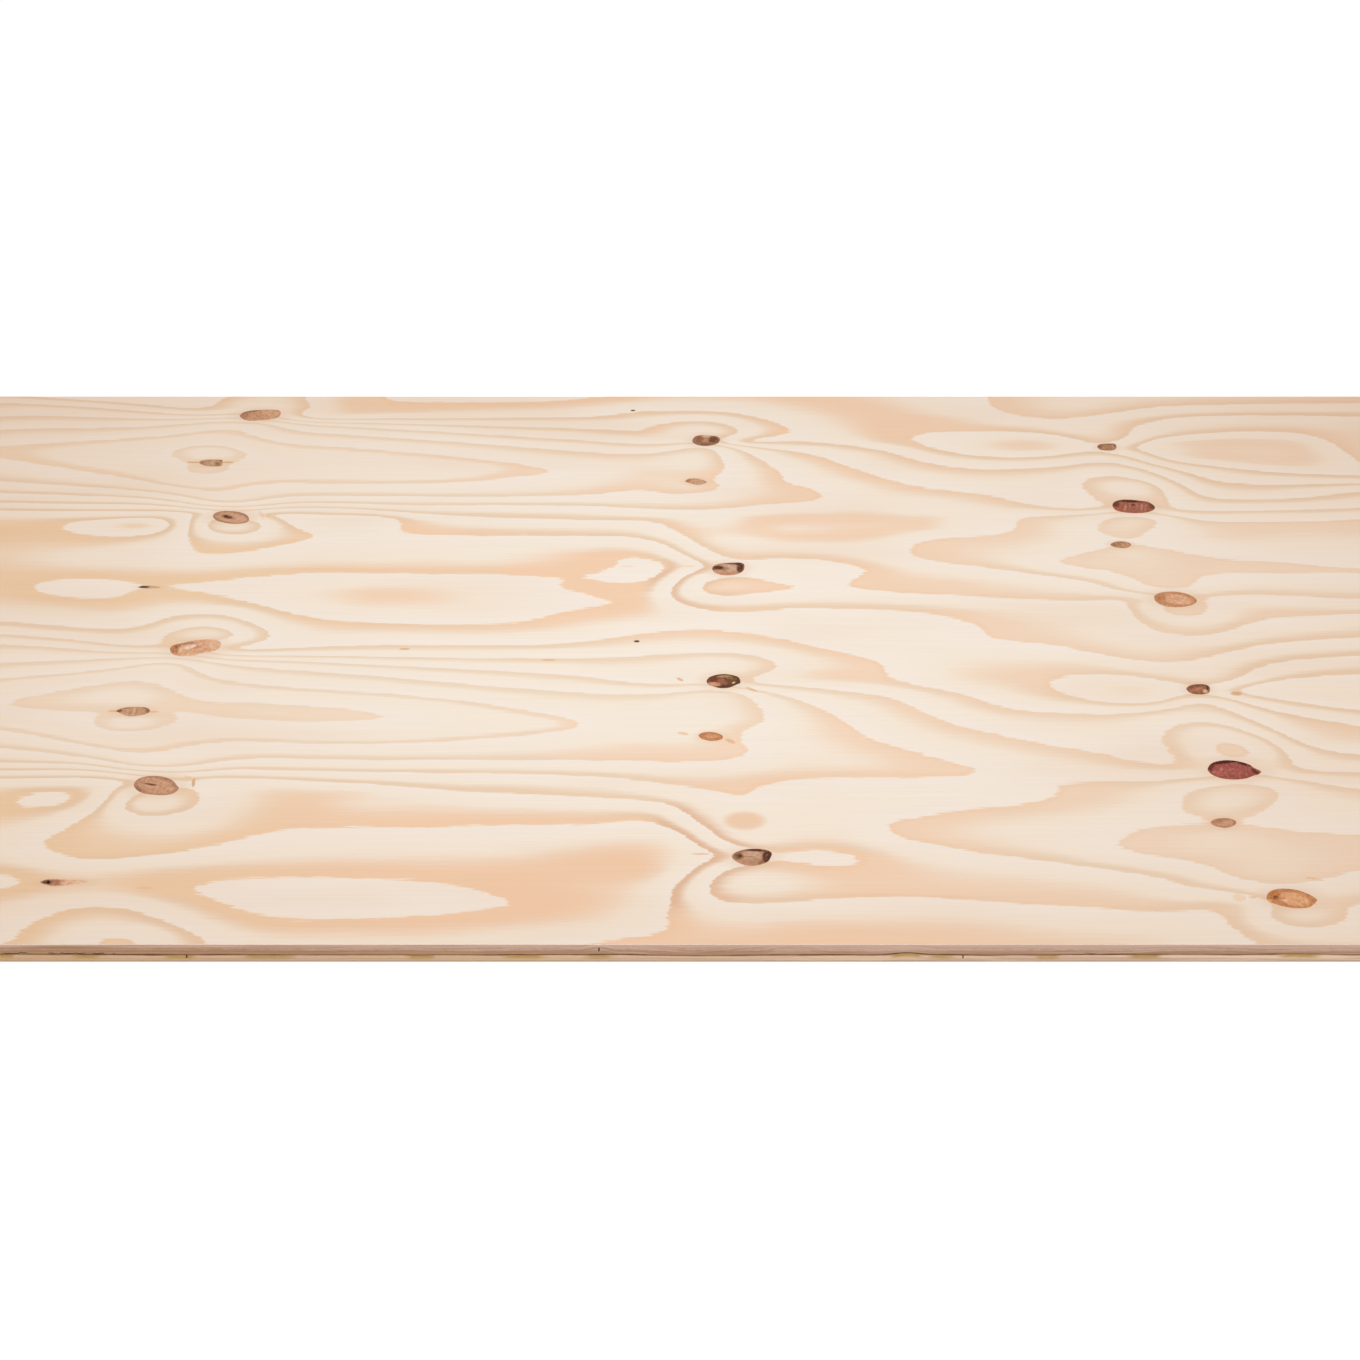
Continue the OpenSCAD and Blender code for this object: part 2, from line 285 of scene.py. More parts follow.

# Knots of the face, drawn on views of the photo, seven times its size and 74 by 34 pixels each
KNOT_ZOOM = 7.0
KNOT_VIEW_HALF = (37.0, 17.0)
KNOTS = {
    # Each has the view's middle in the photo, the wood colour, the outline, and dabs of colour over it
    # A dab has its middle, half length, half height, tilt clockwise, colour, strength and softness
    "left_1a": ((259, 414), (196, 146, 113), [
        (125, 127), (150, 108), (200, 95), (270, 90), (340, 88), (395, 93), (412, 112), (395, 140),
        (340, 155), (270, 162), (200, 166), (155, 158), (130, 140),
    ], [
        (150, 130, 40, 26, -15, (168, 118, 86), 0.8, 0.9),
        (200, 102, 75, 7, -10, (140, 100, 74), 0.75, 0.8),
        (340, 120, 60, 30, 0, (206, 160, 127), 0.7, 0.9), (235, 122, 40, 4, 35, (176, 124, 92), 0.6, 0.9),
        (275, 130, 45, 4, -10, (182, 130, 98), 0.5, 0.9),
    ]),
    "left_1b": ((195, 647), (212, 163, 127), [
        (85, 125), (110, 105), (165, 92), (235, 75), (330, 66), (410, 72), (440, 92), (430, 125),
        (390, 145), (320, 160), (240, 178), (160, 182), (110, 172), (88, 150),
    ], [
        (115, 130, 38, 34, -10, (178, 116, 70), 0.9, 0.9), (200, 95, 70, 8, -8, (160, 112, 80), 0.7, 0.8),
        (225, 118, 50, 12, -12, (240, 214, 188), 0.8, 0.7),
        (270, 120, 28, 9, -20, (188, 128, 92), 0.7, 0.8),
        (155, 140, 14, 18, 10, (236, 205, 175), 0.5, 0.7), (130, 118, 10, 8, 0, (140, 84, 46), 0.8, 0.8),
        (150, 112, 8, 7, 0, (140, 84, 46), 0.7, 0.8), (390, 100, 50, 36, 0, (222, 180, 147), 0.7, 1.0),
        (250, 172, 90, 12, -6, (226, 184, 150), 0.6, 0.9),
    ]),
    "left_2a": ((212, 462), (190, 148, 113), [
        (170, 122), (190, 108), (240, 102), (300, 102), (330, 106), (332, 125), (325, 145), (290, 150),
        (240, 148), (195, 140),
    ], [
        (320, 110, 10, 8, 0, (140, 96, 62), 0.9, 0.7), (298, 132, 16, 12, 0, (152, 106, 72), 0.8, 0.9),
        (190, 122, 22, 12, 0, (160, 116, 84), 0.7, 0.9), (262, 122, 14, 20, 0, (208, 168, 134), 0.6, 0.9),
        (230, 104, 40, 5, 0, (160, 118, 86), 0.5, 0.8),
    ]),
    "left_2b": ((132, 711), (196, 150, 116), [
        (150, 118), (185, 100), (240, 92), (310, 90), (360, 95), (385, 115), (365, 135), (310, 150),
        (250, 155), (200, 145), (170, 130),
    ], [
        (165, 118, 26, 12, -10, (128, 84, 54), 0.9, 0.8), (372, 118, 16, 16, 0, (138, 92, 58), 0.8, 0.8),
        (355, 100, 22, 5, 10, (130, 88, 56), 0.7, 0.8), (230, 96, 60, 5, -4, (150, 108, 78), 0.6, 0.8),
        (275, 118, 10, 26, 0, (214, 170, 136), 0.6, 0.9), (240, 145, 60, 8, 5, (206, 162, 128), 0.6, 0.9),
    ]),
    "left_3a": ((231, 517), (166, 120, 90), [
        (133, 115), (150, 90), (200, 78), (260, 78), (320, 85), (365, 102), (385, 130), (370, 155),
        (320, 165), (260, 165), (200, 155), (155, 140),
    ], [
        (258, 122, 110, 34, 8, (202, 156, 126), 0.95, 0.35),
        (215, 112, 70, 20, 10, (176, 130, 98), 0.6, 0.6),
        (235, 118, 36, 11, 10, (100, 58, 32), 0.95, 0.7), (222, 113, 14, 9, 0, (80, 44, 22), 0.8, 0.7),
        (285, 128, 22, 6, -35, (170, 122, 94), 0.6, 0.8),
        (330, 132, 40, 20, 10, (208, 158, 132), 0.8, 0.8),
    ]),
    "left_3b": ((155, 785), (176, 128, 98), [
        (110, 118), (130, 85), (180, 62), (250, 54), (320, 62), (380, 85), (415, 125), (425, 140),
        (400, 170), (340, 188), (270, 188), (200, 180), (150, 165), (120, 140),
    ], [
        (268, 124, 128, 52, 10, (200, 152, 121), 0.9, 0.35),
        (235, 120, 95, 34, 10, (186, 137, 106), 0.7, 0.5),
        (245, 122, 75, 25, 8, (204, 158, 126), 0.8, 0.5), (228, 114, 50, 7, 8, (122, 78, 54), 0.9, 0.8),
        (236, 116, 16, 8, 0, (106, 64, 44), 0.8, 0.8), (308, 134, 22, 8, 40, (206, 150, 96), 0.8, 0.8),
        (300, 128, 26, 6, 35, (170, 116, 80), 0.5, 0.8), (140, 150, 30, 14, 25, (150, 104, 76), 0.8, 0.8),
    ]),
    "left_4a": ((145, 587), (158, 124, 94), [
        (212, 120), (240, 111), (290, 110), (340, 115), (366, 121), (330, 126), (280, 128), (235, 126),
    ], [
        (250, 118, 34, 7, 0, (78, 54, 38), 0.95, 0.8), (330, 121, 44, 9, 0, (206, 176, 142), 0.85, 0.9),
    ]),
    "left_4b": ((57, 882), (224, 176, 144), [
        (140, 121), (165, 108), (200, 98), (260, 99), (330, 103), (400, 105), (450, 109), (475, 115),
        (450, 122), (400, 130), (340, 138), (280, 146), (225, 147), (180, 136),
    ], [
        (245, 122, 60, 22, 0, (158, 104, 74), 0.85, 0.9), (185, 120, 40, 17, 0, (122, 80, 56), 0.9, 0.8),
        (198, 120, 14, 12, 0, (34, 18, 10), 1.0, 0.6), (172, 120, 8, 7, 0, (50, 28, 18), 0.7, 0.8),
        (320, 126, 50, 12, 0, (228, 172, 146), 0.6, 1.0),
        (410, 114, 60, 11, 0, (230, 192, 156), 0.8, 1.0),
    ]),
    "middle_1a": ((705, 440), (136, 97, 72), [
        (170, 120), (190, 95), (230, 85), (290, 88), (335, 92), (362, 108), (355, 135), (320, 152),
        (265, 160), (215, 155), (180, 140),
    ], [
        (189, 120, 22, 14, 0, (148, 104, 76), 0.7, 0.9), (228, 114, 36, 19, 0, (126, 84, 60), 0.8, 0.9),
        (267, 95, 32, 8, 3, (194, 158, 128), 0.8, 0.8), (263, 121, 24, 14, 0, (174, 130, 104), 0.8, 0.9),
        (319, 117, 36, 20, 0, (90, 58, 42), 0.9, 0.8), (352, 104, 10, 8, 0, (150, 112, 84), 0.7, 0.8),
        (263, 148, 42, 8, 0, (112, 74, 54), 0.7, 0.8),
    ]),
    "middle_1b": ((723, 681), (84, 52, 36), [
        (145, 118), (165, 92), (215, 75), (270, 70), (330, 78), (370, 95), (380, 130), (350, 145),
        (300, 165), (240, 168), (190, 155), (155, 140),
    ], [
        (199, 140, 45, 14, 6, (184, 130, 104), 0.9, 0.7), (189, 108, 46, 17, 0, (100, 52, 38), 0.85, 0.8),
        (267, 87, 50, 9, -2, (160, 120, 82), 0.85, 0.7), (251, 123, 34, 20, 10, (138, 84, 66), 0.85, 0.8),
        (321, 115, 42, 24, 0, (96, 68, 44), 0.85, 0.8), (300, 100, 26, 5, 12, (134, 98, 66), 0.6, 0.8),
        (333, 131, 13, 4, -24, (212, 186, 144), 0.85, 0.7),
        (368, 124, 14, 14, 0, (70, 44, 32), 0.85, 0.8), (259, 160, 60, 6, -2, (74, 42, 30), 0.8, 0.8),
        (308, 145, 26, 5, -16, (84, 56, 38), 0.7, 0.8),
    ]),
    "middle_2a": ((696, 482), (197, 151, 117), [
        (185, 110), (215, 95), (260, 95), (310, 105), (335, 120), (310, 132), (270, 138), (225, 130),
        (195, 120),
    ], [
        (198, 110, 22, 12, -15, (160, 112, 78), 0.8, 0.9),
        (270, 116, 40, 14, 6, (206, 160, 126), 0.7, 0.9), (255, 98, 45, 4, 2, (172, 124, 90), 0.6, 0.8),
    ]),
    "middle_2b": ((711, 736), (204, 144, 100), [
        (172, 112), (200, 95), (250, 90), (300, 97), (340, 118), (335, 138), (300, 150), (250, 152),
        (200, 140), (178, 125),
    ], [
        (258, 120, 60, 20, 6, (220, 166, 124), 0.85, 0.7),
        (200, 112, 26, 14, -20, (196, 132, 86), 0.7, 0.9), (300, 140, 34, 8, 0, (196, 134, 92), 0.6, 0.9),
        (240, 122, 24, 5, 0, (236, 190, 152), 0.5, 0.8),
    ]),
    "middle_3a": ((728, 568), (196, 152, 126), [
        (148, 122), (165, 100), (200, 88), (270, 82), (340, 80), (372, 95), (370, 130), (345, 152),
        (290, 168), (220, 168), (175, 155), (155, 140),
    ], [
        (275, 116, 52, 27, 0, (214, 184, 160), 0.9, 0.7),
        (205, 147, 42, 13, 6, (206, 160, 130), 0.7, 0.9),
        (224, 122, 42, 12, 4, (150, 108, 84), 0.75, 0.9), (190, 116, 36, 13, 0, (74, 46, 30), 0.95, 0.8),
        (160, 120, 12, 14, 0, (80, 50, 34), 0.7, 0.9), (300, 88, 68, 7, 2, (104, 68, 50), 0.9, 0.7),
        (345, 116, 24, 34, 12, (82, 52, 36), 0.97, 0.45), (338, 92, 36, 9, 4, (86, 54, 38), 0.9, 0.6),
        (290, 105, 15, 4, 0, (184, 142, 116), 0.5, 0.9), (275, 160, 62, 7, 0, (198, 150, 116), 0.6, 0.9),
    ]),
    "middle_3b": ((752, 857), (186, 148, 120), [
        (120, 108), (140, 88), (190, 70), (250, 62), (320, 62), (375, 75), (398, 92), (390, 120),
        (370, 150), (330, 168), (270, 180), (200, 172), (150, 150), (125, 130),
    ], [
        (259, 106, 66, 32, 2, (212, 178, 152), 0.9, 0.6),
        (205, 148, 56, 20, 6, (202, 158, 126), 0.8, 0.8), (166, 112, 32, 22, 0, (126, 86, 60), 0.85, 0.9),
        (177, 112, 15, 9, 0, (74, 46, 30), 0.92, 0.8), (235, 117, 54, 4, 3, (152, 112, 84), 0.65, 0.8),
        (205, 76, 46, 5, -10, (150, 104, 78), 0.6, 0.8),
        (337, 151, 40, 12, -18, (154, 110, 84), 0.8, 0.8),
        (364, 112, 31, 44, 15, (88, 52, 40), 0.97, 0.4), (348, 131, 13, 18, 20, (120, 80, 60), 0.6, 0.8),
        (290, 71, 84, 9, 3, (94, 52, 40), 0.95, 0.5), (290, 134, 40, 4, 10, (184, 142, 114), 0.5, 0.9),
    ]),
    "right_1a": ((1106, 447), (178, 136, 106), [
        (198, 115), (215, 100), (260, 95), (310, 95), (330, 108), (328, 130), (300, 142), (250, 142),
        (215, 135),
    ], [
        (215, 115, 20, 14, 0, (140, 98, 70), 0.8, 0.9), (265, 98, 45, 5, 0, (146, 104, 76), 0.7, 0.8),
        (312, 118, 14, 12, 0, (206, 164, 132), 0.7, 0.8), (320, 108, 6, 8, 0, (96, 60, 40), 0.8, 0.8),
        (258, 122, 30, 12, 0, (190, 146, 116), 0.6, 0.9),
    ]),
    "right_1b": ((1198, 689), (160, 110, 84), [
        (178, 118), (200, 95), (250, 85), (310, 88), (340, 105), (338, 140), (300, 155), (250, 155),
        (205, 145),
    ], [
        (225, 108, 46, 16, -8, (128, 80, 58), 0.8, 0.8),
        (250, 120, 40, 12, -10, (190, 128, 98), 0.8, 0.8),
        (312, 134, 18, 12, 0, (226, 188, 154), 0.85, 0.7), (326, 112, 8, 20, -10, (62, 38, 24), 0.9, 0.7),
        (290, 92, 40, 6, 4, (110, 70, 50), 0.8, 0.8), (250, 150, 40, 6, 0, (120, 80, 60), 0.7, 0.8),
    ]),
    "right_2a": ((1133, 506), (162, 93, 82), [
        (115, 115), (130, 90), (180, 75), (240, 75), (310, 82), (370, 92), (412, 125), (395, 150),
        (340, 165), (260, 168), (180, 160), (135, 145),
    ], [
        (230, 82, 110, 12, 2, (74, 36, 26), 0.9, 0.7), (140, 105, 22, 24, -30, (90, 44, 34), 0.8, 0.8),
        (392, 118, 24, 20, 25, (98, 66, 44), 0.9, 0.8), (205, 130, 8, 24, 4, (200, 148, 136), 0.6, 0.9),
        (235, 125, 6, 28, 4, (186, 128, 118), 0.6, 0.9), (320, 128, 8, 26, 4, (204, 150, 138), 0.6, 0.9),
        (290, 120, 6, 24, 4, (196, 140, 130), 0.5, 0.9), (345, 132, 6, 22, 4, (196, 142, 130), 0.5, 0.9),
        (150, 142, 34, 14, 20, (176, 90, 78), 0.7, 0.9), (262, 112, 14, 8, 0, (70, 30, 24), 0.7, 0.8),
        (265, 160, 80, 7, 0, (178, 96, 84), 0.5, 0.9),
    ]),
    "right_2b": ((1234, 769), (150, 78, 72), [
        (75, 120), (95, 85), (140, 65), (210, 57), (290, 65), (360, 85), (400, 110), (448, 135),
        (430, 155), (395, 165), (340, 185), (260, 192), (180, 185), (120, 165), (90, 145),
    ], [
        (185, 70, 110, 13, -6, (70, 28, 20), 0.95, 0.6), (330, 84, 70, 9, 14, (66, 28, 20), 0.9, 0.6),
        (95, 105, 24, 34, 30, (92, 36, 28), 0.85, 0.8), (410, 138, 34, 14, 35, (88, 44, 32), 0.9, 0.8),
        (445, 140, 14, 8, 0, (160, 110, 84), 0.6, 0.9), (150, 150, 34, 16, 15, (172, 92, 80), 0.7, 0.9),
        (170, 120, 8, 16, 10, (204, 140, 124), 0.6, 0.9), (200, 140, 6, 18, 5, (196, 128, 114), 0.5, 0.9),
        (120, 140, 10, 10, 0, (200, 132, 116), 0.5, 0.9), (250, 130, 60, 30, 5, (158, 84, 78), 0.5, 0.9),
        (300, 150, 8, 20, 5, (176, 104, 96), 0.5, 0.9), (240, 183, 70, 7, 0, (160, 88, 76), 0.5, 0.9),
    ]),
    "right_3a": ((1121, 544), (190, 149, 117), [
        (185, 122), (215, 105), (260, 100), (310, 108), (330, 125), (300, 145), (250, 145), (210, 138),
    ], [
        (205, 122, 24, 14, 0, (160, 118, 90), 0.8, 0.9), (250, 105, 40, 5, 0, (160, 116, 86), 0.6, 0.8),
        (290, 126, 28, 12, 0, (204, 162, 128), 0.7, 0.9),
        (245, 124, 14, 12, 0, (172, 130, 100), 0.6, 0.9),
    ]),
    "right_3b": ((1223, 822), (195, 148, 117), [
        (172, 122), (200, 100), (250, 92), (310, 95), (350, 115), (340, 140), (290, 158), (240, 155),
        (195, 142),
    ], [
        (215, 112, 40, 14, -10, (190, 132, 104), 0.8, 0.9),
        (290, 132, 40, 14, 0, (206, 168, 136), 0.8, 0.9), (260, 97, 60, 5, 2, (168, 118, 90), 0.7, 0.8),
        (340, 120, 10, 18, 0, (170, 122, 92), 0.6, 0.9), (250, 150, 40, 6, 0, (180, 132, 100), 0.6, 0.9),
    ]),
    "right_4a": ((1175, 599), (197, 142, 102), [
        (112, 105), (140, 80), (200, 68), (270, 68), (340, 82), (390, 105), (412, 130), (390, 155),
        (330, 172), (250, 175), (180, 165), (130, 140),
    ], [
        (275, 122, 105, 34, 8, (222, 172, 136), 0.95, 0.4),
        (158, 108, 40, 22, 10, (184, 126, 86), 0.8, 0.9), (250, 118, 40, 6, 8, (206, 152, 114), 0.6, 0.8),
        (300, 140, 60, 8, 8, (230, 184, 150), 0.6, 0.8),
    ]),
    "right_4b": ((1291, 898), (194, 134, 88), [
        (88, 110), (110, 75), (170, 55), (250, 55), (320, 68), (390, 95), (440, 130), (420, 160),
        (380, 185), (300, 190), (220, 180), (150, 160), (100, 140),
    ], [
        (285, 128, 108, 44, 12, (222, 166, 120), 0.95, 0.35),
        (140, 100, 44, 36, 10, (184, 118, 70), 0.85, 0.8), (153, 114, 16, 12, 0, (94, 56, 30), 0.9, 0.7),
        (190, 120, 30, 7, 0, (190, 130, 84), 0.6, 0.8), (250, 140, 50, 7, 10, (234, 186, 146), 0.6, 0.8),
        (330, 105, 40, 5, 15, (204, 146, 100), 0.6, 0.8),
        (110, 135, 14, 8, 30, (226, 190, 130), 0.6, 0.8),
    ]),
}

# Knots beyond the view, each like one that shows: its place in millimetres and the knot that it repeats
FAR_KNOTS = [
    (-1030, 330, "right_4b"),
    (-1042, 60, "middle_3b"),
    (-1024, -270, "left_3b"),
    (-1036, -545, "right_3b"),
    (1010, 470, "left_3b"),
    (1024, 170, "right_1b"),
    (1018, -135, "left_1b"),
    (1030, -440, "middle_1b"),
]

# Knots whose drawn colours are darkened or lightened as a whole
KNOT_TONES = {
    "left_1a": (1.08, 1.07, 1.06),
    "left_1b": (1.05, 1.02, 1.02),
    "left_3a": (1.06, 1.06, 1.04),
    "left_3b": (1.05, 1.05, 1.05),
    "middle_1a": (1.30, 1.28, 1.28),
    "middle_1b": (1.38, 1.42, 1.34),
    "middle_2b": (0.89, 0.77, 0.71),
    "middle_3a": (0.93, 0.83, 0.76),
    "middle_3b": (0.91, 0.81, 0.75),
    "right_1a": (0.89, 0.80, 0.72),
    "right_1b": (0.95, 0.90, 0.85),
    "right_2a": (0.95, 1.00, 0.80),
    "right_2b": (1.10, 1.13, 1.03),
    "right_3a": (0.93, 0.84, 0.73),
    "right_3b": (0.96, 0.91, 0.86),
    "right_4a": (0.98, 0.94, 0.92),
    "right_4b": (1.05, 1.00, 1.02),
}

# Specks and cracks of the face: x, y, half length, half height, tilt, darkness
SPECKS = [
    (-45, -47, 3.2, 2.6, 0, 0.95),
    (-58, 565, 3.2, 2.6, 0, 0.70),
    (-285, -64, 6.0, 2.4, 0, 0.30),
    (-135, -88, 8.0, 2.4, 0, 0.25),
    (0, -130, 5.0, 2.4, -50, 0.30),
    (-58, 130, 9.0, 1.6, 0, 0.14),
    (8, 130, 10.0, 1.5, -3, 0.16),
    (19, -463, 9.0, 1.7, 0, 0.24),
    (-476, 263, 11.0, 2.6, -66, 0.12),
    (-468, 261, 6.0, 2.6, 72, 0.12),
    (-469, -325, 5.0, 2.2, -25, 0.14),
    (-462, -336, 8.0, 1.7, -84, 0.34),
    (569, -505, 9.0, 2.0, -20, 0.20),
    (495, -536, 5.0, 7.0, 0, 0.12),
    (508, -535, 3.5, 2.2, 0, 0.18),
    (-576, 409, 9.0, 2.0, 0, 0.34),
    (-535, 409, 8.0, 2.0, 0, 0.34),
    (-563, -196, 6.0, 2.0, 0, 0.28),
    (-523, -197, 6.0, 2.0, 0, 0.24),
    (3, -241, 6.0, 3.0, -20, 0.22),
    (49, -256, 7.0, 3.2, -50, 0.25),
    (559, -160, 6.0, 4.5, 0, 0.32),
    (72, -151, 8.0, 2.4, -40, 0.26),
    (-478, -520, 9.0, 2.4, 0, 0.14),
    (60, -405, 20.0, 17.0, 0, 0.21),
]


def srgb(red, green, blue):
    """A colour given in steps of 0 to 255, as linear light."""
    out = []
    for step in (red, green, blue):
        part = step / 255.0
        out.append(part / 12.92 if part <= 0.04045 else ((part + 0.055) / 1.055) ** 2.4)
    return tuple(out)


# Ring field of the face: its stretch along the grain, and how soft and how loose it is
STRETCH = 0.45
SOFTNESS = 14.0
LOOSENESS = 3.0

# Step along a drawn line in millimetres, and how many points are worked out at once
LINE_STEP = 9.0
CHUNK = 4000


def eased(part):
    """A part from 0 to 1 that starts and ends gently."""
    return part * part * (3 - 2 * part)


def on_spline(a, b, c, d, t):
    """A point between b and c, on the smooth curve through four points."""
    bend = (2 * a - 5 * b + 4 * c - d) * t ** 2 + (3 * b - a - 3 * c + d) * t ** 3
    return 0.5 * (2 * b + (c - a) * t + bend)


def smooth_line(points):
    """Points close together on a smooth curve through the given ones."""
    p = np.array(points, float)
    q = np.vstack([2 * p[0] - p[1], p, 2 * p[-1] - p[-2]])
    out = []
    for a, b, c, d in zip(q[:-3], q[1:-2], q[2:-1], q[3:]):
        span = math.hypot((c[0] - b[0]) * STRETCH, c[1] - b[1])
        count = max(1, int(span / LINE_STEP))
        for t in np.arange(count) / count:
            out.append(on_spline(a, b, c, d, t))
    out.append(p[-1])
    return np.array(out)


def spread(a, b):
    """Softened distance between two sets of points, shorter along the grain."""
    dx = (a[:, None, 0] - b[None, :, 0]) * STRETCH
    dy = a[:, None, 1] - b[None, :, 1]
    return np.sqrt(dx * dx + dy * dy + SOFTNESS ** 2)


# Marks beyond the view, in millimetres: each end's side, middle level, swing and valley, and their places
LOG_TURN = 606.0
END_WAVES = ((-1, 2.6, 2.4, 380.0), (1, 3.6, 2.2, 150.0))
END_COLUMNS = (930.0, 1010.0, 1090.0, 1160.0, 1230.0)
END_ROWS = range(-600, 601, 60)
END_SWAY = 0.35
SWAY_X = 45.0
SWAY_Y = 90.0


def end_marks():
    """Ring levels beyond the view: a plain wave across the sheet, once per turn of the log."""
    marks = []
    for side, middle, swing, valley in END_WAVES:
        for x in END_COLUMNS:
            for y in END_ROWS:
                phase = 2 * math.pi * (y - valley) / LOG_TURN
                sway = END_SWAY * math.sin(x / SWAY_X + y / SWAY_Y)
                marks.append((side * x, y, middle - swing * math.cos(phase) + sway))
    return marks


def ring_field():
    """Function that gives the ring level at any points of the sheet, in millimetres."""
    places = []
    levels = []
    for level, line in RING_LINES:
        curve = smooth_line(line)
        places.append(curve)
        levels.append(np.full(len(curve), float(level)))
    marks = np.array(LEVEL_MARKS + end_marks())
    places = np.vstack(places + [marks[:, :2]])
    levels = np.concatenate(levels + [marks[:, 2]])
    middle = levels.mean()
    pull = spread(places, places) - np.eye(len(places)) * LOOSENESS
    weights = np.linalg.solve(pull, levels - middle)

    def level_at(points):
        parts = []
        for start in range(0, len(points), CHUNK):
            parts.append(spread(points[start:start + CHUNK], places) @ weights + middle)
        return np.concatenate(parts)

    return level_at


# How far from its middle a mark is felt: in half lengths, and at least in millimetres
MARK_REACH = 3.0
LEAST_REACH = 30.0
NEAR_SLOPE = 3.0
FAR_AWAY = 1e9

# Between two knots: the width without a halo and the fade beside it, in millimetres
KNOT_GAP = 8.0
KNOT_FADE = 10.0


def nearness(dx, dy, half_length):
    """1 on and round a mark, 0 well away from it."""
    reach = max(MARK_REACH * half_length, LEAST_REACH)
    return np.clip(NEAR_SLOPE * (1.0 - np.hypot(dx, dy) / reach), 0.0, 1.0)


def turned(dx, dy, half_length, half_height, tilt):
    """Place in a tilted ellipse, whose edge is at 1."""
    turn = math.radians(tilt)
    u = (dx * math.cos(turn) + dy * math.sin(turn)) / half_length
    v = (dy * math.cos(turn) - dx * math.sin(turn)) / half_height
    return u, v


def speck_fields(points, specks):
    """For each point: its place in the nearest speck or crack, and how dark that is."""
    best = np.full(len(points), FAR_AWAY)
    place = np.zeros((len(points), 3))
    for x, y, half_length, half_height, tilt, darkness in specks:
        dx = points[:, 0] - x
        dy = points[:, 1] - y
        u, v = turned(dx, dy, half_length, half_height, tilt)
        away = np.hypot(dx, dy)
        mine = away < best
        best = np.where(mine, away, best)
        dark = darkness * nearness(dx, dy, half_length)
        place[mine] = np.column_stack([u, v, dark])[mine]
    return place


def knot_fields(points, knots):
    """For each point: its place in the nearest knot, and how near that is."""
    best = np.full(len(points), FAR_AWAY)
    second = np.full(len(points), FAR_AWAY)
    place = np.zeros((len(points), 3))
    for x, y, half_length, half_height in knots:
        dx = points[:, 0] - x
        dy = points[:, 1] - y
        u, v = turned(dx, dy, half_length, half_height, 0.0)
        away = np.hypot(dx, dy) - 0.5 * (half_length + half_height)
        mine = away < best
        second = np.where(mine, best, np.minimum(second, away))
        best = np.where(mine, away, best)
        near = nearness(dx, dy, half_length)
        place[mine] = np.column_stack([u, v, near])[mine]
    place[:, 2] *= np.clip((second - best - KNOT_GAP) / KNOT_FADE, 0.0, 1.0)
    return place


# Shapes of the veneers

LOW = {}
HIGH = {}
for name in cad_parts:
    LOW[name], HIGH[name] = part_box(name)
HALF_LENGTH = HIGH["face_veneer"].x
HALF_WIDTH = HIGH["face_veneer"].y

# Bevel at the sanded edges, and the gap and places of the joints in the crossbands
ARRIS = 0.4 * MM
JOINT_GAP = 1.2 * MM
LOWER_JOINTS = (-1.099, -0.427, 0.245, 0.917)
UPPER_JOINTS = (-0.742, -0.070, 0.602)

# Columns of the face: from, to and spacing, finer where the knots are
FACE_COLUMNS = [
    (-HALF_LENGTH + ARRIS, -0.870, 0.0125),
    (-0.870, -0.640, 0.0068),
    (-0.640, -0.430, 0.0035),
    (-0.430, -0.020, 0.0068),
    (-0.020, 0.130, 0.0035),
    (0.130, 0.440, 0.0068),
    (0.440, 0.600, 0.0035),
    (0.600, 0.870, 0.0068),
    (0.870, HALF_LENGTH - ARRIS, 0.0125),
]
FACE_ROWS = 236
BACK_COLUMNS = [(-HALF_LENGTH + ARRIS, HALF_LENGTH - ARRIS, 0.0080)]
BACK_ROWS = 180
BACK_SHIFT = 130.0

# Spacing along the sawn edges, and heights of their rows as parts of a veneer's thickness
EDGE_STEP = 0.0045
EDGE_ROWS = (0.0, 0.07, 0.26, 0.50, 0.74, 0.93, 1.0)

# Part of an outer veneer's thickness above which it has its bevel instead of rows
BEVEL_START = 0.9

# Depths: the glue groove between two veneers, the saw marks, the small voids and the dip round a knot
GROOVE = 0.16 * MM
SAW_MARKS = 0.07 * MM
VOID_DEPTH = 0.5 * MM
KNOT_DIP = 0.14 * MM

# First random seed of each veneer's saw marks, and the seeds that each strip of a crossband takes
FACE_SEED = 100
BACK_SEED = 200
UPPER_SEED = 300
CORE_SEED = 500
LOWER_SEED = 600
STRIP_SEEDS = 20

# Spacing of the saw marks, and how they shift from edge to edge and from row to row
SAW_SPACING = 0.0075
SAW_SLANT = 1.7
SAW_SHIFT = 0.83

# Half of the length that the random curves along an edge cover
WANDER_HALF = 1.6


def stations(spans):
    """Places along the sheet, from spans of from, to and spacing."""
    out = []
    for start, stop, step in spans:
        count = max(1, round((stop - start) / step))
        out.append(np.linspace(start, stop, count, endpoint=False))
    out.append(np.array([spans[-1][1]]))
    return np.concatenate(out)


def even(start, stop, step):
    """Evenly spaced places from start to stop, both included."""
    return np.linspace(start, stop, max(1, round((stop - start) / step)) + 1)


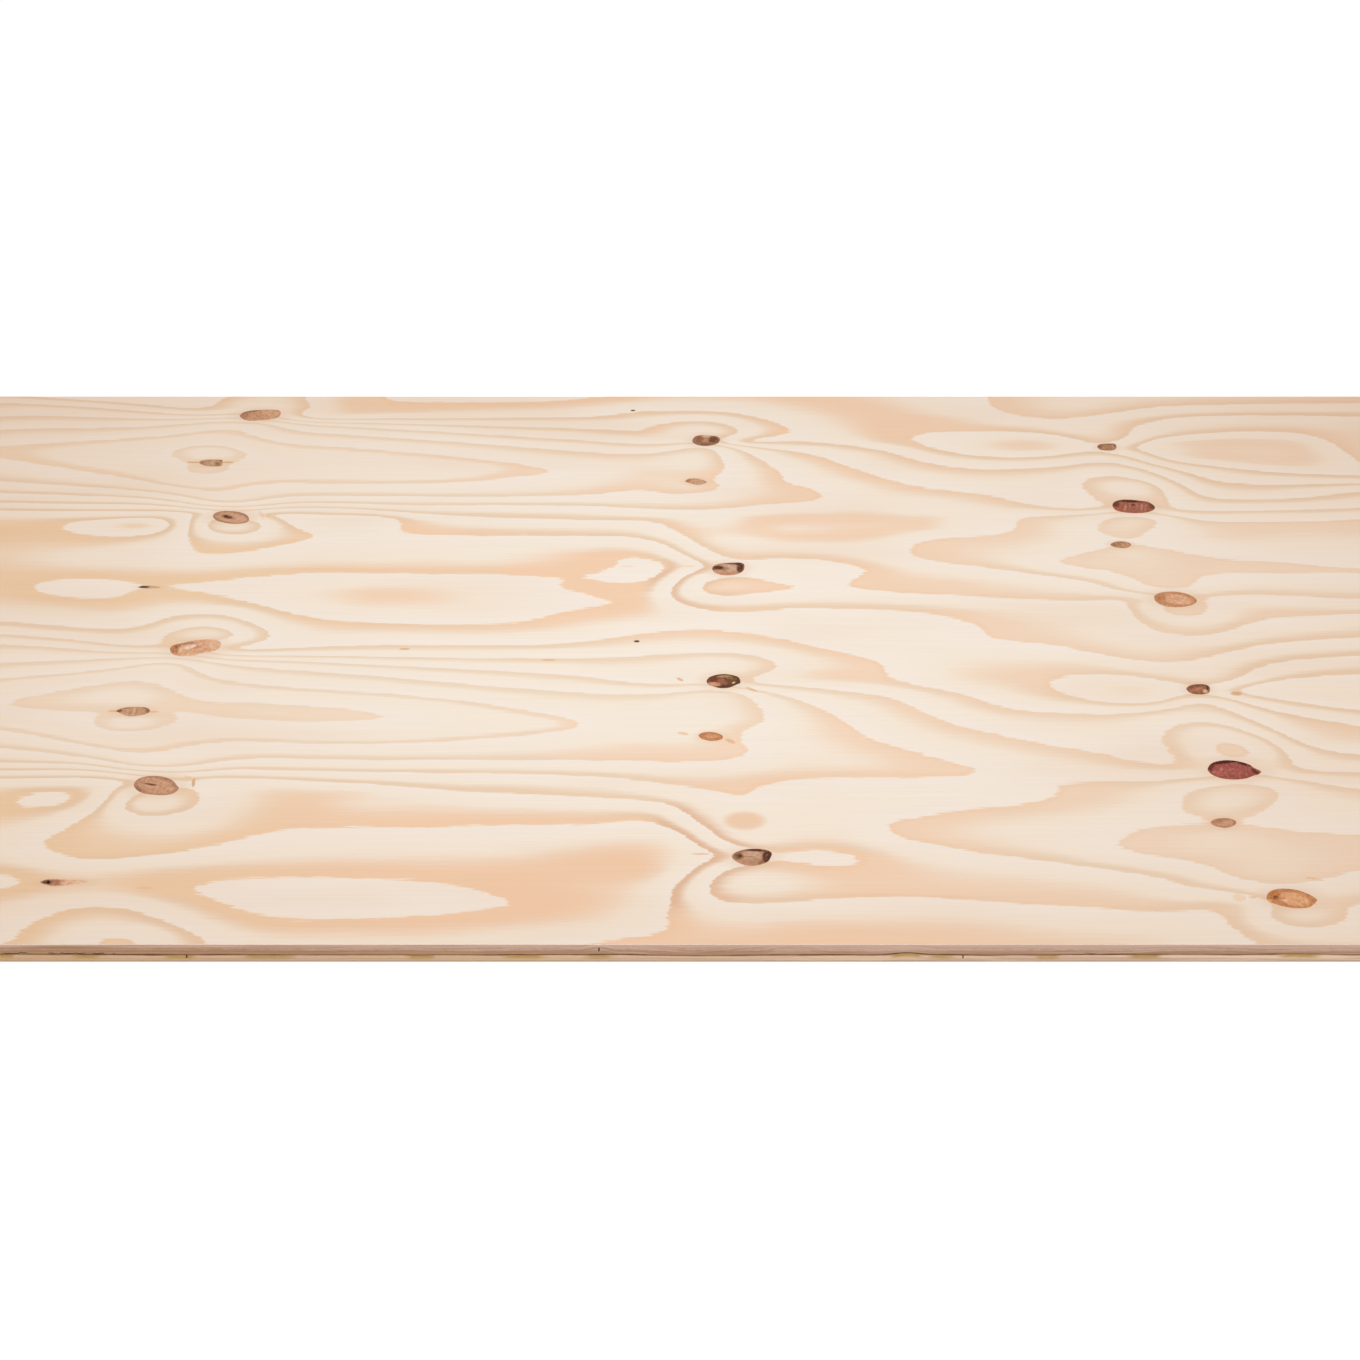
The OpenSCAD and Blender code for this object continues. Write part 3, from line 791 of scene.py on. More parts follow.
def loop_of(xs, ys):
    """Grid indices (column, row) once round the rim of a grid, anticlockwise seen from above."""
    last_x = len(xs) - 1
    last_y = len(ys) - 1
    front = [(i, 0) for i in range(last_x)]
    right = [(last_x, j) for j in range(last_y)]
    rear = [(i, last_y) for i in range(last_x, 0, -1)]
    left = [(0, j) for j in range(last_y, 0, -1)]
    return front + right + rear + left


def wander(along, seed, spacing):
    """A smooth random number from -1 to 1 along an edge, with knots of the curve at the given spacing."""
    rng = np.random.default_rng(seed)
    count = int(2 * WANDER_HALF / spacing) + 4
    picks = rng.uniform(-1.0, 1.0, count)
    place = (np.asarray(along) + WANDER_HALF) / spacing
    low = np.clip(np.floor(place).astype(int), 0, count - 2)
    part = eased(np.clip(place - low, 0.0, 1.0))
    return picks[low] * (1 - part) + picks[low + 1] * part


def bump_at(along, middle, half, height):
    """A round hump along an edge."""
    part = np.clip(1.0 - ((np.asarray(along) - middle) / half) ** 2, 0.0, 1.0)
    return height * part * part


# Glue line over the lower crossband, as the front edge shows it: humps as middle, half width and height
GLUE_HUMPS = [
    (-0.560, 0.050, 0.5 * MM),
    (-0.228, 0.018, -0.5 * MM),
    (0.020, 0.070, -1.0 * MM),
    (0.196, 0.020, 1.9 * MM),
    (0.262, 0.035, -0.5 * MM),
    (0.400, 0.090, 0.5 * MM),
    (0.540, 0.050, 1.0 * MM),
]

# Bends of the grain in the edge: middle, half width and height
GRAIN_BENDS = [
    (-0.070, 0.016, 3.0 * MM),
    (0.010, 0.055, -5.0 * MM),
    (0.098, 0.034, 5.5 * MM),
    (0.196, 0.030, 2.2 * MM),
    (-0.330, 0.060, -1.6 * MM),
    (0.440, 0.070, 2.0 * MM),
]

# Resin along the front edge, under the glue line or, where negative, over it: middle, half width, strength
RESIN_SPOTS = [
    (-0.583, 0.012, 0.9),
    (-0.515, 0.026, 1.0),
    (-0.433, 0.018, 0.9),
    (-0.356, 0.034, 0.7),
    (-0.222, 0.020, 0.8),
    (-0.192, 0.030, -0.8),
    (-0.135, 0.026, 0.7),
    (-0.070, 0.020, 0.5),
    (0.196, 0.018, 1.0),
    (0.226, 0.018, 0.5),
    (0.318, 0.014, 0.8),
    (0.402, 0.020, 0.8),
    (0.536, 0.026, 0.7),
    (-0.535, 0.080, -0.5),
]

# Cracks and voids along that glue line: middle, half width, strength
GLUE_CRACKS = [
    (-0.575, 0.016, 0.8),
    (-0.535, 0.030, 1.0),
    (-0.497, 0.016, 1.0),
    (0.355, 0.012, 0.4),
    (-0.940, 0.014, 0.9),
    (0.880, 0.012, 0.8),
]


def drawn_along(x, spots):
    """Sum of drawn humps along the front edge."""
    total = np.zeros(len(x))
    for middle, half, height in spots:
        total = total + bump_at(x, middle, half, height)
    return total


# Waves along the edges: seed, spacing and reach, and the level at which resin and cracks begin
GLUE_WAVE = (11, 0.055, 0.40 * MM)
GLUE_RIPPLE = (12, 0.016, 0.25 * MM)
RESIN_WAVE = (13, 0.045, 1.4)
RESIN_START = 0.75
CRACK_WAVE = (14, 0.022, 2.0)
CRACK_START = 1.55
BEND_WAVE = (15, 0.070, 2.5 * MM)

# How the waves move along from edge to edge, and how near a point of a short end is to it
END_SHIFT = 0.37
REAR_SHIFT = 0.21
END_NEAR = 1.5 * MM

# The part of the front edge that is drawn, and how much of the waves it keeps
DRAWN_HALF = 0.62
DRAWN_GLUE = 0.6
DRAWN_BEND = 0.3


def wave(along, kind):
    """A random curve along an edge, from its seed, spacing and reach."""
    seed, spacing, reach = kind
    return reach * wander(along, seed, spacing)


def edge_fields(x, y):
    """Along the sawn edges: shift of the glue line, resin, cracks and bend of the grain, in millimetres."""
    on_end = np.abs(np.abs(x) - HALF_LENGTH) < END_NEAR
    along = np.where(on_end, y, x)
    shift = along + np.where(on_end, END_SHIFT * np.sign(x), np.where(y < 0, 0.0, REAR_SHIFT))
    glue = wave(shift, GLUE_WAVE) + wave(shift, GLUE_RIPPLE)
    bend = wave(shift, BEND_WAVE)
    resin = np.clip(wave(shift, RESIN_WAVE) - RESIN_START, 0.0, 1.0)
    crack = np.clip(wave(shift, CRACK_WAVE) - CRACK_START, 0.0, 1.0)
    drawn = (y < 0) & ~on_end & (np.abs(x) < DRAWN_HALF)
    glue = np.where(drawn, DRAWN_GLUE * glue + drawn_along(x, GLUE_HUMPS), glue)
    bend = np.where(drawn, DRAWN_BEND * bend + drawn_along(x, GRAIN_BENDS), bend)
    resin = np.where(drawn, drawn_along(x, RESIN_SPOTS), resin)
    crack = np.where(drawn, drawn_along(x, GLUE_CRACKS), crack)
    return np.column_stack([glue / MM, resin, np.clip(crack, 0.0, 1.0), bend / MM])


def add_edge_values(mesh, edge):
    """Stores the values along the sawn edges on a mesh."""
    add_values(mesh, "edge", edge[:, :3])
    add_values(mesh, "bend", edge[:, 3])


def wall_inset(x, y, part, seed, groove_low, groove_high):
    """How far a point of a sawn edge lies inside the sheet's outline."""
    rough = 0.5 + 0.5 * wander(x + y * SAW_SLANT + part * SAW_SHIFT, seed, SAW_SPACING)
    inset = SAW_MARKS * rough
    if part == 0.0:
        inset = inset + groove_low
    if part == 1.0:
        inset = inset + groove_high
    return inset


def add_values(mesh, name, values):
    """Stores one number or one vector per vertex on a mesh."""
    values = np.asarray(values, float)
    if values.ndim == 1:
        layer = mesh.attributes.new(name, "FLOAT", "POINT")
        layer.data.foreach_set("value", values)
    else:
        layer = mesh.attributes.new(name, "FLOAT_VECTOR", "POINT")
        layer.data.foreach_set("vector", values.ravel())


def wall_quads(rings, count):
    """Faces between rings of vertex numbers, each ring above the one before."""
    quads = []
    for lower, upper in zip(rings[:-1], rings[1:]):
        for i in range(count):
            j = (i + 1) % count
            quads.append((lower[i], lower[j], upper[j], upper[i]))
    return quads


def rim_inward(x, y, x0, x1, y0, y1):
    """Direction into the sheet at points of a rim, as two arrays of -1, 0 and 1."""
    tiny = 1e-6
    in_x = np.where(x < x0 + tiny, 1.0, np.where(x > x1 - tiny, -1.0, 0.0))
    in_y = np.where(y < y0 + tiny, 1.0, np.where(y > y1 - tiny, -1.0, 0.0))
    return in_x, in_y


def make_piece(name, mesh, materials):
    """A finished piece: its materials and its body."""
    for material in materials:
        mesh.materials.append(material)
    piece = bpy.data.objects.new(name, mesh)
    bpy.context.collection.objects.link(piece)
    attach(piece, "root")
    return piece


def make_veneer(name, node, mesh, materials):
    """A finished veneer, which takes the place of its node, whose part is hidden."""
    piece = make_piece(name, mesh, materials)
    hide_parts(node)


def gathered(parts):
    """Points, faces and values of several closed parts as one."""
    points = []
    faces = []
    values = []
    total = 0
    for part_points, part_faces, part_values in parts:
        points.append(part_points)
        values.append(part_values)
        faces.extend(tuple(total + v for v in face) for face in part_faces)
        total += len(part_points)
    return np.vstack(points), faces, np.vstack(values)


def sharpen_rim(mesh, rim):
    """Keeps the sanded side evenly lit right up to its arris."""
    ends = np.empty(len(mesh.edges) * 2, np.int32)
    mesh.edges.foreach_get("vertices", ends)
    on_rim = np.zeros(len(mesh.vertices), bool)
    on_rim[rim] = True
    mesh.edges.foreach_set("use_edge_sharp", on_rim[ends].reshape(-1, 2).all(axis=1))


def grid_faces(wide, row_count):
    """Faces of a grid of points that are numbered row by row."""
    corner = (np.arange(row_count - 1)[:, None] * wide + np.arange(wide - 1)[None, :]).ravel()
    return np.column_stack([corner, corner + 1, corner + 1 + wide, corner + wide]).tolist()


def mark_sides(mesh, sanded_count):
    """The first faces are sanded and smooth, the others sawn and flat."""
    sawn = np.arange(len(mesh.polygons)) >= sanded_count
    mesh.polygons.foreach_set("material_index", sawn.astype(np.int32))
    mesh.polygons.foreach_set("use_smooth", ~sawn)


def add_figure(mesh, values, rim, wall_edge):
    """Stores the figure at the grid's points and at the rings of its edge, and the edge's own values."""
    grid_count = len(values["ring"])
    ring_count = (len(mesh.vertices) - grid_count) // len(rim)
    source = np.concatenate([np.arange(grid_count)] + [rim] * ring_count)
    for key, grid_values in values.items():
        add_values(mesh, key, np.asarray(grid_values)[source])
    edge = np.zeros((len(mesh.vertices), wall_edge.shape[1]))
    edge[rim] = wall_edge
    edge[grid_count:] = np.tile(wall_edge, (ring_count, 1))
    add_edge_values(mesh, edge)


def outer_veneer(name, node, columns, row_count, figure, seed, upward, materials):
    """Face or back veneer: a fine grid for the sanded side, bevelled to four sawn edges, closed inside."""
    thickness = HIGH[node].z - LOW[node].z
    xs = stations(columns)
    ys = np.linspace(-HALF_WIDTH + ARRIS, HALF_WIDTH - ARRIS, row_count)
    gx, gy = np.meshgrid(xs, ys)
    gx = gx.ravel()
    gy = gy.ravel()
    values, dip = figure(np.column_stack([gx, gy]) / MM)
    gz = thickness - dip
    wide = len(xs)
    rim = np.array([j * wide + i for i, j in loop_of(xs, ys)])
    gz[rim] = thickness
    count = len(rim)
    in_x, in_y = rim_inward(gx[rim], gy[rim], xs[0], xs[-1], ys[0], ys[-1])
    wall_x = gx[rim] - in_x * ARRIS
    wall_y = gy[rim] - in_y * ARRIS
    wall_edge = edge_fields(wall_x, wall_y)
    parts = [part for part in EDGE_ROWS if part < BEVEL_START]
    parts.append(1.0 - ARRIS / thickness)
    points = [np.column_stack([gx, gy, gz])]
    rings = []
    for row, part in enumerate(parts):
        inset = wall_inset(wall_x, wall_y, part, seed + row, GROOVE, 0.0)
        if row == len(parts) - 1:
            inset = np.zeros(count)
        ring_x = wall_x + in_x * inset
        ring_y = wall_y + in_y * inset
        points.append(np.column_stack([ring_x, ring_y, np.full(count, part * thickness)]))
        rings.append(len(gx) + row * count + np.arange(count))
    rings.append(rim)
    points = np.vstack(points)
    top = grid_faces(wide, row_count)
    walls = wall_quads([ring.tolist() for ring in rings], count)
    inside = [tuple(reversed(rings[0].tolist()))]
    faces = top + walls + inside
    if upward:
        points[:, 2] = LOW[node].z + points[:, 2]
    else:
        points[:, 2] = HIGH[node].z - points[:, 2]
        faces = [tuple(reversed(face)) for face in faces]
    mesh = bpy.data.meshes.new(name)
    mesh.from_pydata(points.tolist(), [], faces)
    mark_sides(mesh, len(top))
    add_figure(mesh, values, rim, wall_edge)
    mesh.validate()
    sharpen_rim(mesh, rim)
    mesh.update()
    make_veneer(name, node, mesh, materials)


def strip_parts(node, x0, x1, seed, void_low, void_high):
    """Points, faces and edge values of one closed strip of an inner veneer."""
    y0 = LOW[node].y
    y1 = HIGH[node].y
    xs = even(x0, x1, EDGE_STEP)
    ys = even(y0, y1, EDGE_STEP)
    loop = loop_of(xs, ys)
    x = np.array([xs[i] for i, j in loop])
    y = np.array([ys[j] for i, j in loop])
    in_x, in_y = rim_inward(x, y, x0, x1, y0, y1)
    edge = edge_fields(x, y)
    crack = edge[:, 2]
    count = len(x)
    thickness = HIGH[node].z - LOW[node].z
    points = []
    rings = []
    for row, part in enumerate(EDGE_ROWS):
        low = GROOVE + crack * void_low
        high = GROOVE + crack * void_high
        inset = wall_inset(x, y, part, seed + row, low, high)
        z = np.full(count, LOW[node].z + part * thickness)
        points.append(np.column_stack([x + in_x * inset, y + in_y * inset, z]))
        rings.append((row * count + np.arange(count)).tolist())
    faces = wall_quads(rings, count)
    faces.append(tuple(reversed(rings[0])))
    faces.append(tuple(rings[-1]))
    return np.vstack(points), faces, np.tile(edge, (len(EDGE_ROWS), 1))


def inner_veneer(name, node, joints, seed, void_low, void_high, material):
    """Core or crossband: one closed strip, or several that butt with a small gap."""
    starts = [-HALF_LENGTH] + [joint + JOINT_GAP / 2 for joint in joints]
    stops = [joint - JOINT_GAP / 2 for joint in joints] + [HALF_LENGTH]
    parts = []
    for number, (x0, x1) in enumerate(zip(starts, stops)):
        parts.append(strip_parts(node, x0, x1, seed + STRIP_SEEDS * number, void_low, void_high))
    points, faces, edges = gathered(parts)
    mesh = bpy.data.meshes.new(name)
    mesh.from_pydata(points.tolist(), [], faces)
    add_edge_values(mesh, edges)
    mesh.validate()
    mesh.update()
    make_veneer(name, node, mesh, [material])


# Materials

# How far a noise's shift moves it across and up, against along
SHIFT_ACROSS = 1.7
SHIFT_UP = 0.6


class Graph:
    """A material made of nodes, with short calls for the nodes that wood needs."""

    def __init__(self, name):
        self.material = bpy.data.materials.new(name)
        self.material.use_nodes = True
        self.tree = self.material.node_tree
        self.tree.nodes.clear()
        self.shader = self.tree.nodes.new("ShaderNodeBsdfPrincipled")
        output = self.tree.nodes.new("ShaderNodeOutputMaterial")
        self.tree.links.new(self.shader.outputs["BSDF"], output.inputs["Surface"])

    def put(self, socket, value):
        if isinstance(value, bpy.types.NodeSocket):
            self.tree.links.new(value, socket)
        elif isinstance(value, tuple) and len(value) == 3 and socket.type == "RGBA":
            socket.default_value = value + (1.0,)
        else:
            socket.default_value = value

    def math(self, operation, a, b=None, c=None, clamp=False):
        node = self.tree.nodes.new("ShaderNodeMath")
        node.operation = operation
        node.use_clamp = clamp
        for socket, value in zip(node.inputs, (a, b, c)):
            if value is not None:
                self.put(socket, value)
        return node.outputs[0]

    def times(self, a, b):
        return self.math("MULTIPLY", a, b)

    def swing(self, noise, reach, base):
        """A base that noise from 0 to 1 moves down and up by half the reach."""
        return self.math("MULTIPLY_ADD", self.math("SUBTRACT", noise, 0.5), reach, base)

    def square(self, u, v):
        """Square of the distance from the middle of a mark."""
        return self.math("ADD", self.times(u, u), self.times(v, v))

    def lowered(self, strength, where, share):
        """A strength that is lower by a share of itself where a mask is 1."""
        return self.times(strength, self.math("MULTIPLY_ADD", where, -share, 1.0))

    def ramp(self, value, low, high):
        """0 below low, 1 above high, smooth between; high may be the lower of the two."""
        node = self.tree.nodes.new("ShaderNodeMapRange")
        node.interpolation_type = "SMOOTHSTEP"
        rising = high > low
        self.put(node.inputs["Value"], value)
        self.put(node.inputs["From Min"], low if rising else high)
        self.put(node.inputs["From Max"], high if rising else low)
        self.put(node.inputs["To Min"], 0.0 if rising else 1.0)
        self.put(node.inputs["To Max"], 1.0 if rising else 0.0)
        return node.outputs["Result"]

    def mix(self, factor, a, b):
        node = self.tree.nodes.new("ShaderNodeMix")
        node.data_type = "RGBA"
        self.put(node.inputs[0], factor)
        self.put(node.inputs[6], a)
        self.put(node.inputs[7], b)
        return node.outputs[2]

    def shade(self, colour, amount):
        """A colour made lighter or darker by a factor."""
        node = self.tree.nodes.new("ShaderNodeVectorMath")
        node.operation = "SCALE"
        self.put(node.inputs[0], colour)
        self.put(node.inputs["Scale"], amount)
        return node.outputs[0]

    def values(self, name):
        """A value stored on the mesh: as a vector's three parts, as a colour, and as a number."""
        node = self.tree.nodes.new("ShaderNodeAttribute")
        node.attribute_name = name
        parts = self.tree.nodes.new("ShaderNodeSeparateXYZ")
        self.tree.links.new(node.outputs["Vector"], parts.inputs[0])
        u, v, w = parts.outputs
        return u, v, w, node.outputs["Vector"], node.outputs["Fac"]

    def place(self):
        """Place on the sheet, in metres, as x, y and z."""
        node = self.tree.nodes.new("ShaderNodeTexCoord")
        parts = self.tree.nodes.new("ShaderNodeSeparateXYZ")
        self.tree.links.new(node.outputs["Object"], parts.inputs[0])
        return parts.outputs[0], parts.outputs[1], parts.outputs[2]

    def join(self, x, y, z):
        node = self.tree.nodes.new("ShaderNodeCombineXYZ")
        for socket, value in zip(node.inputs, (x, y, z)):
            self.put(socket, value)
        return node.outputs[0]

    def grain(self, x, y, kind):
        """Noise from 0 to 1, from its waves each way, detail, roughness and shift."""
        waves_x, waves_y, detail, rough, shift = kind
        vector = self.join(
            self.math("MULTIPLY_ADD", x, waves_x, shift),
            self.math("MULTIPLY_ADD", y, waves_y, shift * SHIFT_ACROSS),
            shift * SHIFT_UP,
        )
        node = self.tree.nodes.new("ShaderNodeTexNoise")
        self.put(node.inputs["Vector"], vector)
        self.put(node.inputs["Scale"], 1.0)
        self.put(node.inputs["Detail"], detail)
        self.put(node.inputs["Roughness"], rough)
        return node.outputs["Fac"]

    def finish(self, colour, roughness, height, bump_strength, bump_distance, specular):
        """Sets colour, roughness and bump on the shader."""
        self.put(self.shader.inputs["Base Color"], colour)
        self.put(self.shader.inputs["Roughness"], roughness)
        self.put(self.shader.inputs["Specular IOR Level"], specular)
        bump = self.tree.nodes.new("ShaderNodeBump")
        self.put(bump.inputs["Strength"], bump_strength)
        self.put(bump.inputs["Distance"], bump_distance)
        self.put(bump.inputs["Height"], height)
        self.tree.links.new(bump.outputs["Normal"], self.shader.inputs["Normal"])
        return self.material


# Colours of each side: early wood, first and last; late wood, left, middle and right; and narrow lines
FACE_EARLY = (srgb(244, 232, 219), srgb(244, 230, 213))
FACE_LATE = (srgb(238, 206, 171), srgb(241, 204, 172), srgb(238, 208, 180))
FACE_NARROW = srgb(231, 203, 173)
BACK_EARLY = (srgb(240, 225, 206), srgb(240, 223, 200))
BACK_LATE = (srgb(228, 190, 152), srgb(230, 190, 152), srgb(228, 193, 158))
BACK_NARROW = srgb(226, 194, 160)

# Colours that both sides share
LATE_DEEP = srgb(222, 178, 146)
HALO_WOOD = srgb(226, 186, 150)
SPECK_BROWN = srgb(88, 54, 34)
SPECK_TAN = srgb(234, 168, 98)
FLECK_WOOD = srgb(226, 172, 148)
# Tint towards the margins of both sides: partly the wood's warmer tone, partly a painted fall-off of light
MARGIN_SHADE_TINT = (1.0, 0.895, 0.82)
WHITE = (1.0, 1.0, 1.0)

# Noise of the sanded sides and the knots: waves per metre along and across, detail, roughness and shift
TEETH = (16.0, 300.0, 4.0, 0.6, 0.0)
FINE_TEETH = (55.0, 900.0, 2.0, 0.5, 7.0)
HALO_BLOTS = (60.0, 90.0, 3.0, 0.6, 3.0)
BROAD_PATCHES = (3.0, 9.0, 2.0, 0.5, 2.0)
FIBRES = (9.0, 620.0, 3.0, 0.6, 4.0)
KNOT_GRAIN = (340.0, 170.0, 3.0, 0.7, 5.0)
KNOT_FLECKS = (420.0, 260.0, 2.0, 0.6, 11.0)

# Where late wood begins, is full and ends within a year, and the year that is only a thin line
LATE_START = 0.45
LATE_FULL = 0.89
LATE_END = 0.965
THIN_YEAR = -1.0
THIN_START = 0.74
NARROW_START = 0.53
EARLY_AGE = (0.05, 0.5)

# How far the ragged grain moves a line, in millimetres and at most in years
TEETH_REACH = 17.0
TEETH_MOST = 0.26
FINE_REACH = 8.0
FINE_MOST = 0.10

# How wide a line's sharp side is, and the darker rim along it, in millimetres
DROP_WIDTH = 2.2
RIM_FADE = (11.0, 2.0)
RIM_STRENGTH = 0.27

# Late wood grows stronger over the young years and weaker over the old ones
YOUNG_LEAST = 0.72
YOUNG_RISE = 0.07
OLD_MOST = 1.66
OLD_FALL = -0.14

# Where late wood is paler, and by what share: the rear left corner, the right, and rows before the middle
PALE_CORNER = 0.15
CORNER_X = (0.0, -0.4)
CORNER_Y = (0.25, 0.45)
PALE_RIGHT = 0.1
RIGHT_X = (0.0, 0.6)
PALE_ROWS = 0.16
ROWS_FRONT = (-0.34, -0.22)
ROWS_REAR = (0.08, -0.04)
ROWS_X = (0.62, 0.45)


def ragged_level(graph, x, y, slope):
    """Ring level, made ragged by coarse and fine grain."""
    level = graph.values("ring")[4]
    for kind, reach, most in ((TEETH, TEETH_REACH, TEETH_MOST), (FINE_TEETH, FINE_REACH, FINE_MOST)):
        move = graph.math("MINIMUM", graph.times(slope, reach), most)
        level = graph.swing(graph.grain(x, y, kind), move, level)
    return level


def late_strength(graph, x, y, year):
    """How strong the late wood of a year is at a place."""
    young = graph.math("MULTIPLY_ADD", year, YOUNG_RISE, YOUNG_LEAST)
    old = graph.math("MULTIPLY_ADD", year, OLD_FALL, OLD_MOST)
    strength = graph.math("MINIMUM", young, old)
    corner = graph.times(graph.ramp(x, *CORNER_X), graph.ramp(y, *CORNER_Y))
    strength = graph.lowered(strength, corner, PALE_CORNER)
    strength = graph.lowered(strength, graph.ramp(x, *RIGHT_X), PALE_RIGHT)
    rows = graph.times(graph.ramp(y, *ROWS_FRONT), graph.ramp(y, *ROWS_REAR))
    rows = graph.times(rows, graph.ramp(x, *ROWS_X))
    return graph.lowered(strength, rows, PALE_ROWS)


def late_wood(graph, x, y, narrow, slope):
    """How much a point is late wood, and the early wood's age."""
    level = ragged_level(graph, x, y, slope)
    part = graph.math("FRACT", level)
    year = graph.math("FLOOR", level)
    thin_year = graph.math("COMPARE", year, THIN_YEAR, 0.5)
    start = graph.math("MULTIPLY_ADD", thin_year, THIN_START - LATE_START, LATE_START)
    start = graph.math("MAXIMUM", start, graph.times(narrow, NARROW_START))
    span = graph.math("SUBTRACT", LATE_FULL, start)
    rise = graph.math("DIVIDE", graph.math("SUBTRACT", part, start), span)
    away = graph.math("DIVIDE", graph.math("SUBTRACT", 1.0, part), slope)
    drop = graph.math("MAXIMUM", graph.ramp(part, 1.0, LATE_END), graph.ramp(away, 0.0, DROP_WIDTH))
    late = graph.times(graph.ramp(rise, 0.0, 1.0), drop)
    rim = graph.times(graph.ramp(away, *RIM_FADE), graph.math("SUBTRACT", 1.0, narrow))
    late = graph.times(late, graph.math("MULTIPLY_ADD", rim, RIM_STRENGTH, 1.0))
    late = graph.times(late, late_strength(graph, x, y, year))
    return late, graph.ramp(part, *EARLY_AGE)


# Places where the lines that bend round a knot are browner: middle, half width, half height and strength
DEEP_LINES = [
    (0.012, -0.470, 0.058, 0.110, 0.8),
    (0.005, 0.075, 0.060, 0.075, 0.6),
]
DEEP_FADE = (1.2, 0.5)


def deep_lines(graph, x, y, late_narrow):
    """Late wood of the narrow lines, browner beside some knots."""
    for middle_x, middle_y, half_x, half_y, strength in DEEP_LINES:
        u = graph.math("DIVIDE", graph.math("SUBTRACT", x, middle_x), half_x)
        v = graph.math("DIVIDE", graph.math("SUBTRACT", y, middle_y), half_y)
        share = graph.times(graph.ramp(graph.square(u, v), *DEEP_FADE), strength)
        late_narrow = graph.mix(share, late_narrow, LATE_DEEP)
    return late_narrow


# Halo of a knot, in its half sizes: how far the blots move its edge, and where it fades
BLOT_SWING = 0.5
HALO_FADE = (1.9, 0.9)
HALO_SHARE = 0.30


def knot_halo(graph, x, y):
    """Where the wood round the knots darkens, from 0 to 1."""
    u, v, near, _, _ = graph.values("knot")
    reach = graph.math("SQRT", graph.square(u, v))
    reach = graph.swing(graph.grain(x, y, HALO_BLOTS), BLOT_SWING, reach)
    return graph.times(graph.ramp(reach, *HALO_FADE), near)


def margin_shade_and_tint(graph, x, y, colour):
    """The wood is palest in the middle of the sheet and darker and warmer towards its margins: partly its
    own tone, partly a painted fall-off of light.
    """
    far = graph.math("MINIMUM", graph.square(x, y), 1.0)
    node = graph.tree.nodes.new("ShaderNodeVectorMath")
    node.operation = "MULTIPLY"
    graph.put(node.inputs[0], colour)
    graph.put(node.inputs[1], graph.mix(far, WHITE, MARGIN_SHADE_TINT))
    return node.outputs[0]


# Specks: how fast they show as they get darker, where their edge fades, and where tan turns to brown
SPECK_GAIN = 2.2
SPECK_FADE = (1.4, 0.3)
SPECK_TURN = (0.1, 0.8)


def specks_over(graph, colour):
    """Specks and cracks over the wood, tan where faint and brown where dark."""
    u, v, dark, _, _ = graph.values("speck")
    shown = graph.math("MULTIPLY", dark, SPECK_GAIN, clamp=True)
    speck = graph.times(graph.ramp(graph.square(u, v), *SPECK_FADE), shown)
    return graph.mix(speck, colour, graph.mix(graph.ramp(dark, *SPECK_TURN), SPECK_TAN, SPECK_BROWN))


# Slopes of the ring field, in years per millimetre, at which a line is narrow
LEAST_SLOPE = 0.0005
NARROW_SLOPES = (0.008, 0.030)

# Where the late wood's tone changes along the sheet, and how much broad patches and fibres vary the wood
LEFT_TO_MIDDLE = (-0.55, -0.2)
MIDDLE_TO_RIGHT = (0.1, 0.5)
PATCH_SPAN = (0.45, 0.75)
PATCH_SHARE = 0.16
FIBRE_SWING = 0.11

# Roughness of the sanded wood, and how late wood changes it and stands out
SANDED_ROUGHNESS = 0.62
LATE_GLOSS = -0.06
LATE_RISE = 0.35

# Bump strength, bump distance and specular level of the sanded wood
SANDED_FINISH = (0.35, 0.0002, 0.12)


def sanded_wood(name, early, late_tones, late_narrow):
    """Sanded rotary-cut pine: year rings, fibres, knots, specks and cracks."""
    graph = Graph(name)
    x, y, _ = graph.place()
    slope = graph.math("MAXIMUM", graph.values("slope")[4], LEAST_SLOPE)
    narrow = graph.ramp(slope, *NARROW_SLOPES)
    late_part, age = late_wood(graph, x, y, narrow, slope)
    late_broad = graph.mix(graph.ramp(x, *LEFT_TO_MIDDLE), late_tones[0], late_tones[1])
    late_broad = graph.mix(graph.ramp(x, *MIDDLE_TO_RIGHT), late_broad, late_tones[2])
    late = graph.mix(narrow, late_broad, deep_lines(graph, x, y, late_narrow))
    colour = graph.mix(late_part, graph.mix(age, early[0], early[1]), late)
    patches = graph.ramp(graph.grain(x, y, BROAD_PATCHES), *PATCH_SPAN)
    colour = graph.mix(graph.times(patches, PATCH_SHARE), colour, HALO_WOOD)
    # Painted fall-off of light towards the margins, with a warmer wood tone
    colour = margin_shade_and_tint(graph, x, y, colour)
    fibres = graph.grain(x, y, FIBRES)
    colour = graph.shade(colour, graph.swing(fibres, FIBRE_SWING, 1.0))
    colour = graph.mix(graph.times(knot_halo(graph, x, y), HALO_SHARE), colour, HALO_WOOD)
    colour = specks_over(graph, colour)
    roughness = graph.math("MULTIPLY_ADD", late_part, LATE_GLOSS, SANDED_ROUGHNESS)
    height = graph.math("MULTIPLY_ADD", late_part, LATE_RISE, fibres)
    return graph.finish(colour, roughness, height, *SANDED_FINISH)


# Heights in millimetres: the faint glue lines, the main one, the cracks over it, the arris and the painted
# shade at the foot
GLUE_HEIGHTS = (3.6, 10.8, 14.4)
MAIN_GLUE = 7.4
CRACK_RISE = 1.1
ARRIS_FADE = (17.55, 17.65)
FOOT_SHADE_FADE = (1.6, 0.5)

